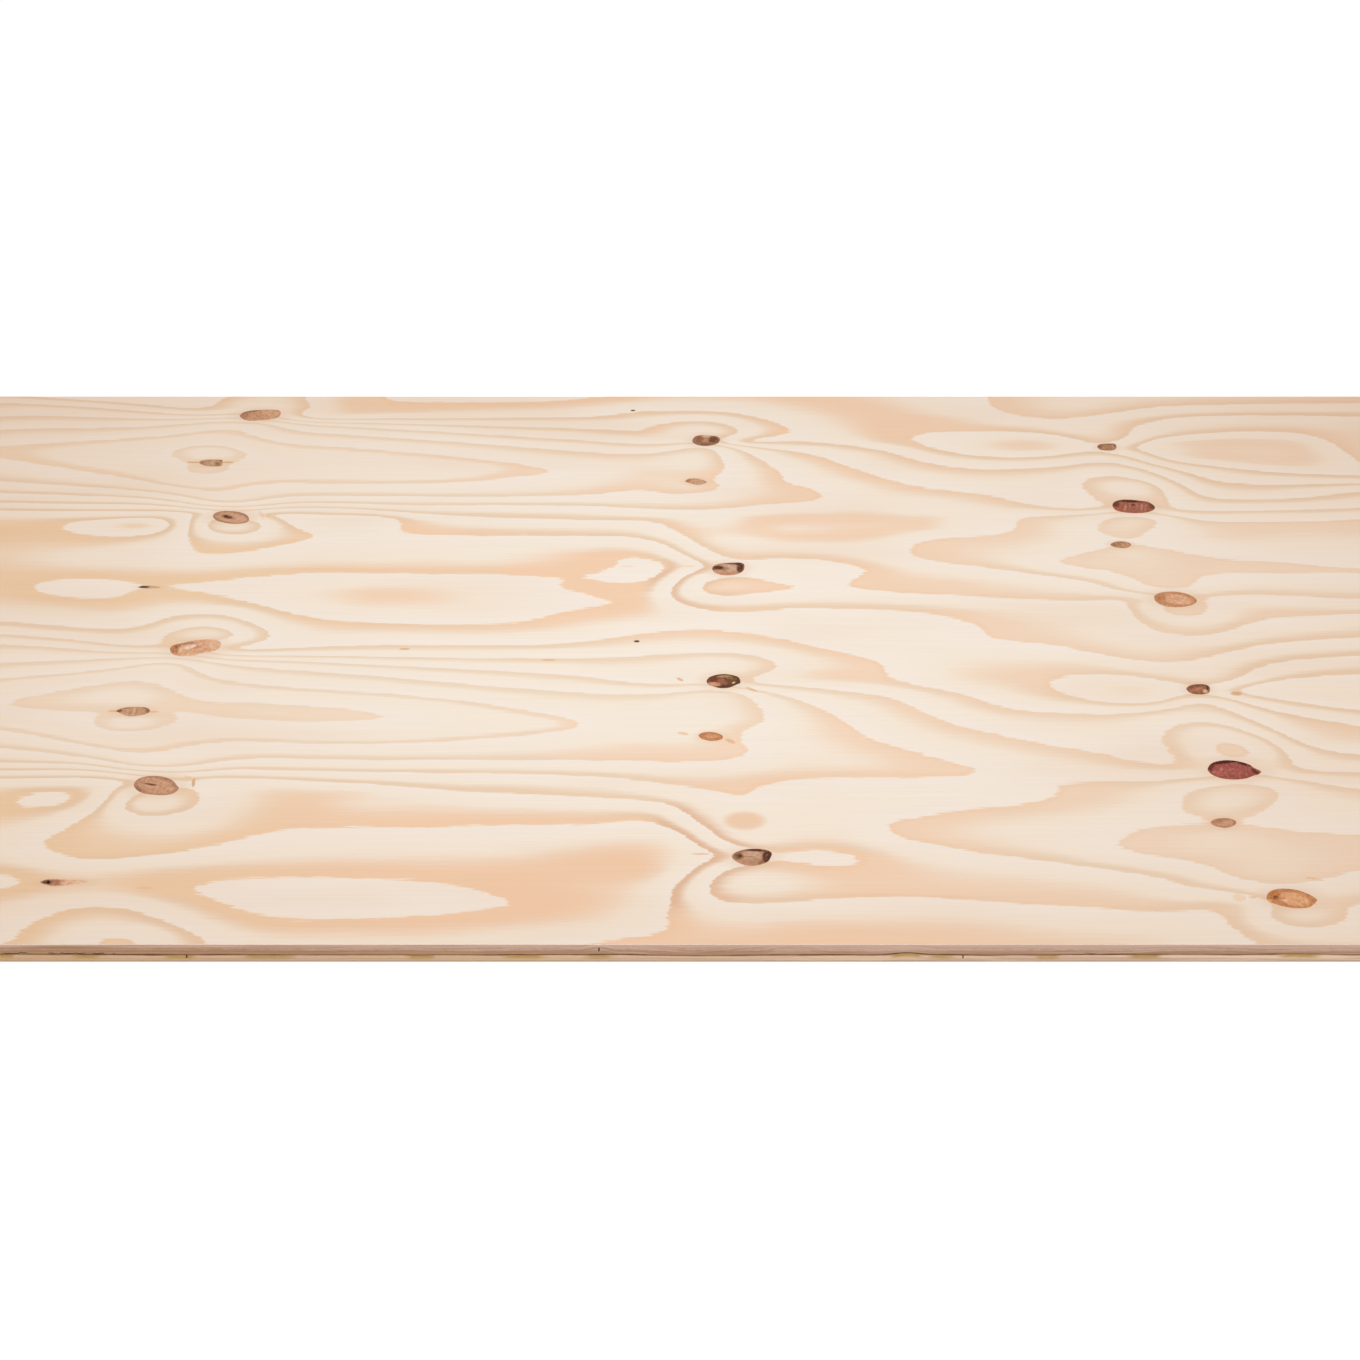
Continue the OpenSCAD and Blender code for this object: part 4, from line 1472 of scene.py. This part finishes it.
# Colours of the sawn edges
UPPER_MAUVE = srgb(206, 173, 154)
UPPER_BROWN = srgb(178, 138, 108)
LOWER_TAN = srgb(216, 178, 138)
LOWER_PALE = srgb(236, 206, 178)
LOWER_PINK = srgb(218, 182, 158)
RESIN = srgb(190, 152, 90)
GLUE_BROWN = srgb(112, 78, 52)
# Nearly black painted shade inside the cracks and voids
CRACK_SHADE = srgb(46, 30, 20)
# Painted shade along the foot of the edges, where the sheet lies on the floor
FOOT_SHADE = srgb(172, 149, 131)
ARRIS_WOOD = srgb(236, 212, 194)

# Noise of the sawn edges: waves per metre along and per millimetre of height, detail, roughness and shift
LONG_GRAIN = (8.0, 0.58, 4.0, 0.62, 0.0)
SHORT_GRAIN = (150.0, 0.55, 3.0, 0.6, 3.0)
GLUE_WIDTHS = (45.0, 1.0, 3.0, 0.6, 8.0)
GLUE_TONES = (14.0, 1.0, 2.0, 0.5, 9.0)
CRACK_JAGS = (210.0, 1.0, 2.0, 0.7, 5.0)
CRACK_BREAKS = (90.0, 1.0, 1.0, 0.5, 6.0)
EDGE_PATCHES = (5.0, 0.05, 2.0, 0.5, 6.0)
PINK_PATCHES = (12.0, 0.3, 2.0, 0.5, 11.0)

# A face that looks along the sheet more than this is on a short end, and shows this share of end grain
END_FACING = 0.7
END_SHARE = 0.35


def edge_place(graph):
    """Along a sawn edge, height in millimetres, and 1 on the two short ends."""
    x, y, z = graph.place()
    normal = graph.tree.nodes.new("ShaderNodeNewGeometry").outputs["True Normal"]
    parts = graph.tree.nodes.new("ShaderNodeSeparateXYZ")
    graph.tree.links.new(normal, parts.inputs[0])
    on_end = graph.math("GREATER_THAN", graph.math("ABSOLUTE", parts.outputs[0]), END_FACING)
    along = graph.math("MULTIPLY_ADD", on_end, graph.math("SUBTRACT", y, x), x)
    return along, graph.times(z, 1.0 / MM), on_end


def edge_streaks(graph, along, height, on_end, crosswise):
    """Grain of a sawn edge: long streaks that bend with the wood, or short end grain."""
    level = graph.math("SUBTRACT", height, graph.values("bend")[4])
    long_grain = graph.grain(along, level, LONG_GRAIN)
    short_grain = graph.grain(along, level, SHORT_GRAIN)
    end_share = graph.math("SUBTRACT", 1.0, on_end) if crosswise else on_end
    change = graph.math("SUBTRACT", short_grain, long_grain)
    return graph.math("MULTIPLY_ADD", graph.times(end_share, END_SHARE), change, long_grain)


# Glue lines, in millimetres: the faint ones, the main one's soft and dark parts, and how these vary
FAINT_FADE = (0.28, 0.08)
FAINT_SHARE = 0.16
SOFT_FADE = (1.7, 0.3)
SOFT_SHARE = 0.4
DARK_FADE = (1.0, 0.3)
WIDTH_SWING = 1.3
TONE_SPAN = (0.35, 0.65)
TONE_GAIN = 0.4
TONE_LEAST = 0.58


def glue_lines(graph, along, height, over, colour):
    """The glue between the veneers: one dark line, wavy and broken, and three faint ones."""
    for glue_height in GLUE_HEIGHTS:
        gap = graph.math("ABSOLUTE", graph.math("SUBTRACT", height, glue_height))
        colour = graph.mix(graph.times(graph.ramp(gap, *FAINT_FADE), FAINT_SHARE), colour, GLUE_BROWN)
    gap = graph.swing(graph.grain(along, 0.0, GLUE_WIDTHS), WIDTH_SWING, graph.math("ABSOLUTE", over))
    tone = graph.ramp(graph.grain(along, 0.0, GLUE_TONES), *TONE_SPAN)
    strength = graph.math("MULTIPLY_ADD", tone, TONE_GAIN, TONE_LEAST)
    colour = graph.mix(graph.times(graph.ramp(gap, *SOFT_FADE), SOFT_SHARE), colour, UPPER_BROWN)
    return graph.mix(graph.times(graph.ramp(gap, *DARK_FADE), strength), colour, GLUE_BROWN)


# Cracks, painted as dark shade: how far they jag and how thick they are in millimetres, and where they begin
# and break off
JAG_SWING = 3.6
CRACK_FADE = (0.55, 0.2)
CRACK_SPAN = (0.1, 0.5)
BREAK_SPAN = (0.36, 0.5)


def painted_crack_shade(graph, along, over, crack, colour):
    """Jagged cracks just over the main glue line, painted nearly black as the shade inside them."""
    rise = graph.swing(graph.grain(along, 0.0, CRACK_JAGS), JAG_SWING, CRACK_RISE)
    gap = graph.math("ABSOLUTE", graph.math("SUBTRACT", over, rise))
    broken = graph.grain(along, 0.0, CRACK_BREAKS)
    part = graph.times(graph.ramp(crack, *CRACK_SPAN), graph.ramp(broken, *BREAK_SPAN))
    return graph.mix(graph.times(graph.ramp(gap, *CRACK_FADE), part), colour, CRACK_SHADE)


# Over the main glue line: where the wood is browner, how patches and streaks vary that, and resin
BROWN_HEIGHTS = (16.5, 7.0)
BROWN_LEFT = (0.0, -0.5)
BROWN_LEFT_SHARE = 0.6
BROWN_PATCHES = 0.9
BROWN_STREAKS = 2.6
BROWN_SPAN = (0.0, 1.25)
RESIN_OVER = (0.0, -0.5)
RESIN_OVER_FADE = (4.0, 0.5)
RESIN_OVER_SHARE = 0.55


def upper_plies(graph, along, height, over, resin, streaks):
    """Colour of the edge over the main glue line."""
    patches = graph.grain(along, height, EDGE_PATCHES)
    left = graph.ramp(along, *BROWN_LEFT)
    brown = graph.math("MULTIPLY_ADD", left, BROWN_LEFT_SHARE, graph.ramp(height, *BROWN_HEIGHTS))
    brown = graph.swing(patches, BROWN_PATCHES, brown)
    brown = graph.swing(streaks, BROWN_STREAKS, brown)
    upper = graph.mix(graph.ramp(brown, *BROWN_SPAN), UPPER_MAUVE, UPPER_BROWN)
    resin_over = graph.times(graph.ramp(resin, *RESIN_OVER), graph.ramp(over, *RESIN_OVER_FADE))
    return graph.mix(graph.times(resin_over, RESIN_OVER_SHARE), upper, RESIN)


# Under the main glue line: the change from left to right, pink patches, and wedges of resin between streaks
LOWER_CHANGE = (-0.5, 0.5)
PINK_SPAN = (0.45, 0.6)
RESIN_UNDER = (0.0, 0.55)
RESIN_UNDER_FADE = (-6.2, -1.6)
RESIN_STREAKS = (0.25, 0.5)


def lower_plies(graph, along, height, over, resin, streaks):
    """Colour of the edge under the main glue line, with a painted shade along its foot."""
    pale = graph.mix(graph.ramp(along, *LOWER_CHANGE), LOWER_TAN, LOWER_PALE)
    pink = graph.ramp(graph.grain(along, height, PINK_PATCHES), *PINK_SPAN)
    lower = graph.mix(pink, pale, LOWER_PINK)
    wedge = graph.times(graph.ramp(resin, *RESIN_UNDER), graph.ramp(over, *RESIN_UNDER_FADE))
    lower = graph.mix(graph.times(wedge, graph.ramp(streaks, *RESIN_STREAKS)), lower, RESIN)
    # Painted shade: greyer and darker along the bottom 1.6 mm of the edge
    return graph.mix(graph.ramp(height, *FOOT_SHADE_FADE), lower, FOOT_SHADE)


# Shading of the sawn edges by their streaks, width of the change at the main glue line, and roughness
STREAK_SWING = -0.5
PLY_CHANGE = (-0.12, 0.12)
SAWN_ROUGHNESS = 0.75

# Bump strength, bump distance and specular level of the sawn edges
SAWN_FINISH = (0.5, 0.0003, 0.10)


def sawn_edge(name, crosswise, tone):
    """Sawn edge of one veneer: side grain or end grain, dark glue lines, resin, small voids, cracks in
    painted shade and a painted shade along the foot.
    """
    graph = Graph(name)
    along, height, on_end = edge_place(graph)
    glue, resin, crack, _, _ = graph.values("edge")
    streaks = edge_streaks(graph, along, height, on_end, crosswise)
    over = graph.math("SUBTRACT", graph.math("SUBTRACT", height, MAIN_GLUE), glue)
    upper = upper_plies(graph, along, height, over, resin, streaks)
    lower = lower_plies(graph, along, height, over, resin, streaks)
    colour = graph.mix(graph.ramp(over, *PLY_CHANGE), lower, upper)
    colour = graph.shade(colour, graph.swing(streaks, STREAK_SWING, tone))
    colour = glue_lines(graph, along, height, over, colour)
    # Cracks painted as dark shade
    colour = painted_crack_shade(graph, along, over, crack, colour)
    colour = graph.mix(graph.ramp(height, *ARRIS_FADE), colour, ARRIS_WOOD)
    return graph.finish(colour, SAWN_ROUGHNESS, streaks, *SAWN_FINISH)


# Floor and light
FLOOR_HALF = 14.0
FLOOR_GREY = 0.75
FLOOR_GLOW = 0.62
SKY_LEVEL = 0.25
SUN_LEVEL = 1.60
SUN_SOFTNESS = 30.0
SUN_HEIGHT = 25.0
SUN_SIDE = -18.0
LAMP_PLACE = (0.0, -0.05, 2.1)
LAMP_SIZE = 0.9
LAMP_POWER = 25.0


def seen_directly(tree):
    """1 for rays that show the background: from the camera, mirrored or through glass."""
    path = tree.nodes.new("ShaderNodeLightPath")
    first = tree.nodes.new("ShaderNodeMath")
    first.operation = "MAXIMUM"
    tree.links.new(path.outputs["Is Camera Ray"], first.inputs[0])
    tree.links.new(path.outputs["Is Glossy Ray"], first.inputs[1])
    second = tree.nodes.new("ShaderNodeMath")
    second.operation = "MAXIMUM"
    tree.links.new(first.outputs[0], second.inputs[0])
    tree.links.new(path.outputs["Is Transmission Ray"], second.inputs[1])
    return second.outputs[0]


def make_floor():
    """White floor that takes the sheet's shadow."""
    mesh = bpy.data.meshes.new("floor")
    corners = [(-FLOOR_HALF, -FLOOR_HALF, 0.0), (FLOOR_HALF, -FLOOR_HALF, 0.0),
               (FLOOR_HALF, FLOOR_HALF, 0.0), (-FLOOR_HALF, FLOOR_HALF, 0.0)]
    mesh.from_pydata(corners, [], [(0, 1, 2, 3)])
    floor = bpy.data.objects.new("floor", mesh)
    bpy.context.collection.objects.link(floor)
    graph = Graph("floor_white")
    seen = seen_directly(graph.tree)
    graph.put(graph.shader.inputs["Base Color"], (FLOOR_GREY, FLOOR_GREY, FLOOR_GREY))
    graph.put(graph.shader.inputs["Roughness"], 1.0)
    graph.put(graph.shader.inputs["Specular IOR Level"], 0.0)
    graph.put(graph.shader.inputs["Emission Color"], WHITE)
    graph.put(graph.shader.inputs["Emission Strength"], graph.math("MULTIPLY", seen, FLOOR_GLOW))
    mesh.materials.append(graph.material)


def make_light():
    """Soft light from all round, a soft key from the front and a soft box over the middle."""
    world = bpy.data.worlds.new("studio")
    bpy.context.scene.world = world
    world.use_nodes = True
    tree = world.node_tree
    tree.nodes.clear()
    back = tree.nodes.new("ShaderNodeBackground")
    output = tree.nodes.new("ShaderNodeOutputWorld")
    tree.links.new(back.outputs[0], output.inputs["Surface"])
    back.inputs["Color"].default_value = WHITE + (1.0,)
    level = tree.nodes.new("ShaderNodeMapRange")
    tree.links.new(seen_directly(tree), level.inputs["Value"])
    level.inputs["To Min"].default_value = SKY_LEVEL
    level.inputs["To Max"].default_value = 1.0
    tree.links.new(level.outputs["Result"], back.inputs["Strength"])
    lamp = bpy.data.lights.new("key", "SUN")
    lamp.energy = SUN_LEVEL
    lamp.angle = math.radians(SUN_SOFTNESS)
    key = bpy.data.objects.new("key", lamp)
    key.rotation_euler = (math.radians(90.0 - SUN_HEIGHT), 0.0, math.radians(SUN_SIDE))
    bpy.context.collection.objects.link(key)
    soft = bpy.data.lights.new("soft_box", "AREA")
    soft.shape = "DISK"
    soft.size = LAMP_SIZE
    soft.energy = LAMP_POWER
    box = bpy.data.objects.new("soft_box", soft)
    box.location = LAMP_PLACE
    bpy.context.collection.objects.link(box)


# Camera as the photo shows the sheet: in front of its middle, looking down
CAMERA_PLACE = (0.0, -2.6225, 1.37057)
CAMERA_PITCH = 28.5
CAMERA_LENS = 74.0067
CAMERA_SENSOR = 36.0


def make_camera():
    """The camera, in front of the sheet's middle and looking down."""
    data = bpy.data.cameras.new("camera")
    data.sensor_width = CAMERA_SENSOR
    data.lens = CAMERA_LENS
    camera = bpy.data.objects.new("camera", data)
    camera.location = CAMERA_PLACE
    camera.rotation_euler = (math.radians(90.0 - CAMERA_PITCH), 0.0, 0.0)
    bpy.context.collection.objects.link(camera)
    bpy.context.scene.camera = camera


# Knots are plugs of hard wood, a hair proud of the wood round them: depths under the sheet's highest plane
PLUG_TOP = 0.01 * MM
PLUG_RIM = 0.05 * MM
PLUG_DEPTH = 0.5 * MM

# Spacing of a plug's points in millimetres, its fewest rings, and its points round as a share and a multiple
PLUG_STEP = 1.1
LEAST_RINGS = 6
ROUND_SHARE = 0.62
ROUND_MULTIPLE = 8

# Points round an outline whose box is measured, and the photo's size in pixels
BOX_POINTS = 60
PHOTO_SIZE = 1360.0


def on_sheet(u, v):
    """Place on the top of the sheet, in metres, of a point of the photo."""
    focal = CAMERA_LENS / CAMERA_SENSOR * PHOTO_SIZE
    right = (u - PHOTO_SIZE / 2) / focal
    up = (PHOTO_SIZE / 2 - v) / focal
    pitch = math.radians(CAMERA_PITCH)
    ahead = math.cos(pitch) + up * math.sin(pitch)
    down = math.sin(pitch) - up * math.cos(pitch)
    reach = (CAMERA_PLACE[2] - HIGH["face_veneer"].z) / down
    return CAMERA_PLACE[0] + right * reach, CAMERA_PLACE[1] + ahead * reach


def closed_curve(points, count):
    """Evenly numbered points on a smooth closed curve through the given ones."""
    p = np.array(points, float)
    t = np.arange(count) / count * len(p)
    i = t.astype(int)
    t = (t - i)[:, None]
    a, b, c, d = [p[(i + k) % len(p)] for k in (-1, 0, 1, 2)]
    return on_spline(a, b, c, d, t)


def dabbed(view, base, dabs):
    """Colours at points of a knot's view, from its wood colour and the dabs over it."""
    colour = np.tile(np.array(srgb(*base)), (len(view), 1))
    for x, y, half_length, half_height, tilt, paint, strength, softness in dabs:
        u, v = turned(view[:, 0] - x, view[:, 1] - y, half_length, half_height, tilt)
        part = np.clip((1 + softness / 2 - np.hypot(u, v)) / softness, 0.0, 1.0)
        part = (eased(part) * strength)[:, None]
        colour = colour * (1 - part) + np.array(srgb(*paint)) * part
    return colour


def view_to_sheet(name, view):
    """Places on the sheet of points in a knot's enlarged view."""
    middle = KNOTS[name][0]
    u = middle[0] - KNOT_VIEW_HALF[0] + view[:, 0] / KNOT_ZOOM
    v = middle[1] - KNOT_VIEW_HALF[1] + view[:, 1] / KNOT_ZOOM
    return np.column_stack(on_sheet(u, v))


def knot_box(name):
    """Middle and half sizes of a knot on the sheet, in metres."""
    rim = view_to_sheet(name, closed_curve(KNOTS[name][2], BOX_POINTS))
    return (rim.min(0) + rim.max(0)) / 2, (rim.max(0) - rim.min(0)) / 2


def knot_places():
    """Every knot of the face: the drawn knot and how far it is moved, in metres."""
    out = [(name, np.zeros(2)) for name in KNOTS]
    for x, y, name in FAR_KNOTS:
        out.append((name, np.array([x, y]) * MM - knot_box(name)[0]))
    return out


def knot_sizes():
    """Every knot of the face as middle and half sizes, in millimetres."""
    out = []
    for name, shift in knot_places():
        middle, half = knot_box(name)
        out.append(((middle[0] + shift[0]) / MM, (middle[1] + shift[1]) / MM, half[0] / MM, half[1] / MM))
    return out


def plug_levels(rings, around):
    """Heights of a plug's points: its heart, its rings, and its foot inside the veneer."""
    drops = [PLUG_TOP] + [PLUG_TOP] * (rings - 2) + [PLUG_RIM] * 2 + [PLUG_DEPTH]
    counts = [1] + [around] * (rings + 1)
    return HIGH["face_veneer"].z - np.repeat(drops, counts)


def knot_plug(name):
    """One knot as a closed plug: points on the sheet, faces and colours."""
    _, base, outline, dabs = KNOTS[name]
    steps = knot_box(name)[1][0] / MM / PLUG_STEP
    around = ROUND_MULTIPLE * max(LEAST_RINGS, round(steps * ROUND_SHARE))
    rings = max(LEAST_RINGS, round(steps))
    rim = closed_curve(outline, around)
    heart = rim.mean(0)
    views = [heart[None, :]]
    for ring in range(1, rings + 1):
        views.append(heart + (rim - heart) * ring / rings)
    views.append(rim)
    views = np.vstack(views)
    points = np.column_stack([view_to_sheet(name, views), plug_levels(rings, around)])
    colours = dabbed(views, base, dabs) * np.array(KNOT_TONES.get(name, 1.0))
    loops = [(1 + ring * around + np.arange(around)).tolist() for ring in range(rings + 1)]
    faces = [(0, loops[0][(i + 1) % around], loops[0][i]) for i in range(around)]
    faces.extend(wall_quads(loops, around))
    faces.append(tuple(loops[-1]))
    return points, faces, colours


def inlaid_knots(name, move, material):
    """All the knots of one side as one piece; move places a knot's points on that side."""
    parts = []
    for knot, shift in knot_places():
        plug_points, plug_faces, plug_colours = knot_plug(knot)
        plug_points[:, :2] += shift
        parts.append((move(plug_points), plug_faces, plug_colours))
    points, faces, colours = gathered(parts)
    mesh = bpy.data.meshes.new(name)
    mesh.from_pydata(points.tolist(), [], faces)
    add_values(mesh, "knot_colour", colours)
    mesh.validate()
    bm = bmesh.new()
    bm.from_mesh(mesh)
    bmesh.ops.recalc_face_normals(bm, faces=bm.faces)
    bm.to_mesh(mesh)
    bm.free()
    make_piece(name, mesh, [material])


# How much fine grain and flecks vary the knots' colours, and the knots' roughness
KNOT_SWING = 1.3
FLECK_SPAN = (0.54, 0.70)
FLECK_SHARE = 0.22
KNOT_ROUGHNESS = 0.65

# Bump strength, bump distance and specular level of the knots
KNOT_FINISH = (0.3, 0.0002, 0.03)


def knot_wood(name):
    """Hard dark wood of the knots, with fine grain over the colours drawn on them."""
    graph = Graph(name)
    x, y, _ = graph.place()
    fine = graph.grain(x, y, KNOT_GRAIN)
    colour = graph.shade(graph.values("knot_colour")[3], graph.swing(fine, KNOT_SWING, 1.0))
    flecks = graph.ramp(graph.grain(x, y, KNOT_FLECKS), *FLECK_SPAN)
    colour = graph.mix(graph.times(flecks, FLECK_SHARE), colour, FLECK_WOOD)
    return graph.finish(colour, KNOT_ROUGHNESS, fine, *KNOT_FINISH)


# Where the dip round a knot ends and over how much it deepens, in half sizes of the knot
DIP_END = 2.2
DIP_FADE = 0.8

# Tones of the veneers' edges
PLAIN_TONE = 1.0
DULL_TONE = 0.98

# The sheet
level_at = ring_field()


def slope_of(ring, points):
    """Ring levels per millimetre, on a grid of points."""
    wide = int(np.argmax(points[:, 1] != points[0, 1]))
    rows = points[:, 1].reshape(-1, wide)[:, 0]
    columns = points[:wide, 0]
    across, along = np.gradient(ring.reshape(-1, wide), rows, columns)
    return np.hypot(across, along).ravel()


def face_figure(points):
    """Ring levels, knots and specks of the face, and how far its points dip."""
    place = knot_fields(points, knot_sizes())
    ring = level_at(points)
    values = {
        "ring": ring,
        "slope": slope_of(ring, points),
        "knot": place,
        "speck": speck_fields(points, SPECKS),
    }
    reach = np.hypot(place[:, 0], place[:, 1])
    dip = KNOT_DIP * np.clip((DIP_END - reach) / DIP_FADE, 0.0, 1.0) * place[:, 2]
    return values, dip


def back_figure(points):
    """The back is the same log peeled elsewhere: the figure turned end for end and moved along."""
    moved = np.column_stack([BACK_SHIFT - points[:, 0], points[:, 1]])
    return face_figure(moved)


def on_face(points):
    """Knots of the face stay where they are drawn."""
    return points


def on_back(points):
    """Knots of the back go with its figure, on the underside."""
    x = BACK_SHIFT * MM - points[:, 0]
    return np.column_stack([x, points[:, 1], HIGH["face_veneer"].z - points[:, 2]])


def main():
    """Sets up the view and builds the seven pieces of the sheet."""
    bpy.context.scene.view_settings.view_transform = "Standard"
    make_camera()
    make_floor()
    make_light()
    sawn_face = sawn_edge("face_edge", False, PLAIN_TONE)
    sawn_upper = sawn_edge("upper_crossband_edge", True, DULL_TONE)
    sawn_core = sawn_edge("core_edge", False, PLAIN_TONE)
    sawn_lower = sawn_edge("lower_crossband_edge", True, PLAIN_TONE)
    sawn_back = sawn_edge("back_edge", False, DULL_TONE)
    face_wood = sanded_wood("face_wood", FACE_EARLY, FACE_LATE, FACE_NARROW)
    back_wood = sanded_wood("back_wood", BACK_EARLY, BACK_LATE, BACK_NARROW)
    outer_veneer("face_veneer_wood", "face_veneer", FACE_COLUMNS, FACE_ROWS, face_figure, FACE_SEED, True,
                 [face_wood, sawn_face])
    outer_veneer("back_veneer_wood", "back_veneer", BACK_COLUMNS, BACK_ROWS, back_figure, BACK_SEED, False,
                 [back_wood, sawn_back])
    knots = knot_wood("knot_wood")
    inlaid_knots("face_knots", on_face, knots)
    inlaid_knots("back_knots", on_back, knots)
    inner_veneer("upper_crossband_wood", "upper_crossband", UPPER_JOINTS, UPPER_SEED, 0.0, 0.0, sawn_upper)
    inner_veneer("core_veneer_wood", "core_veneer", (), CORE_SEED, VOID_DEPTH, 0.0, sawn_core)
    inner_veneer("lower_crossband_wood", "lower_crossband", LOWER_JOINTS, LOWER_SEED, 0.0, VOID_DEPTH,
                 sawn_lower)


main()
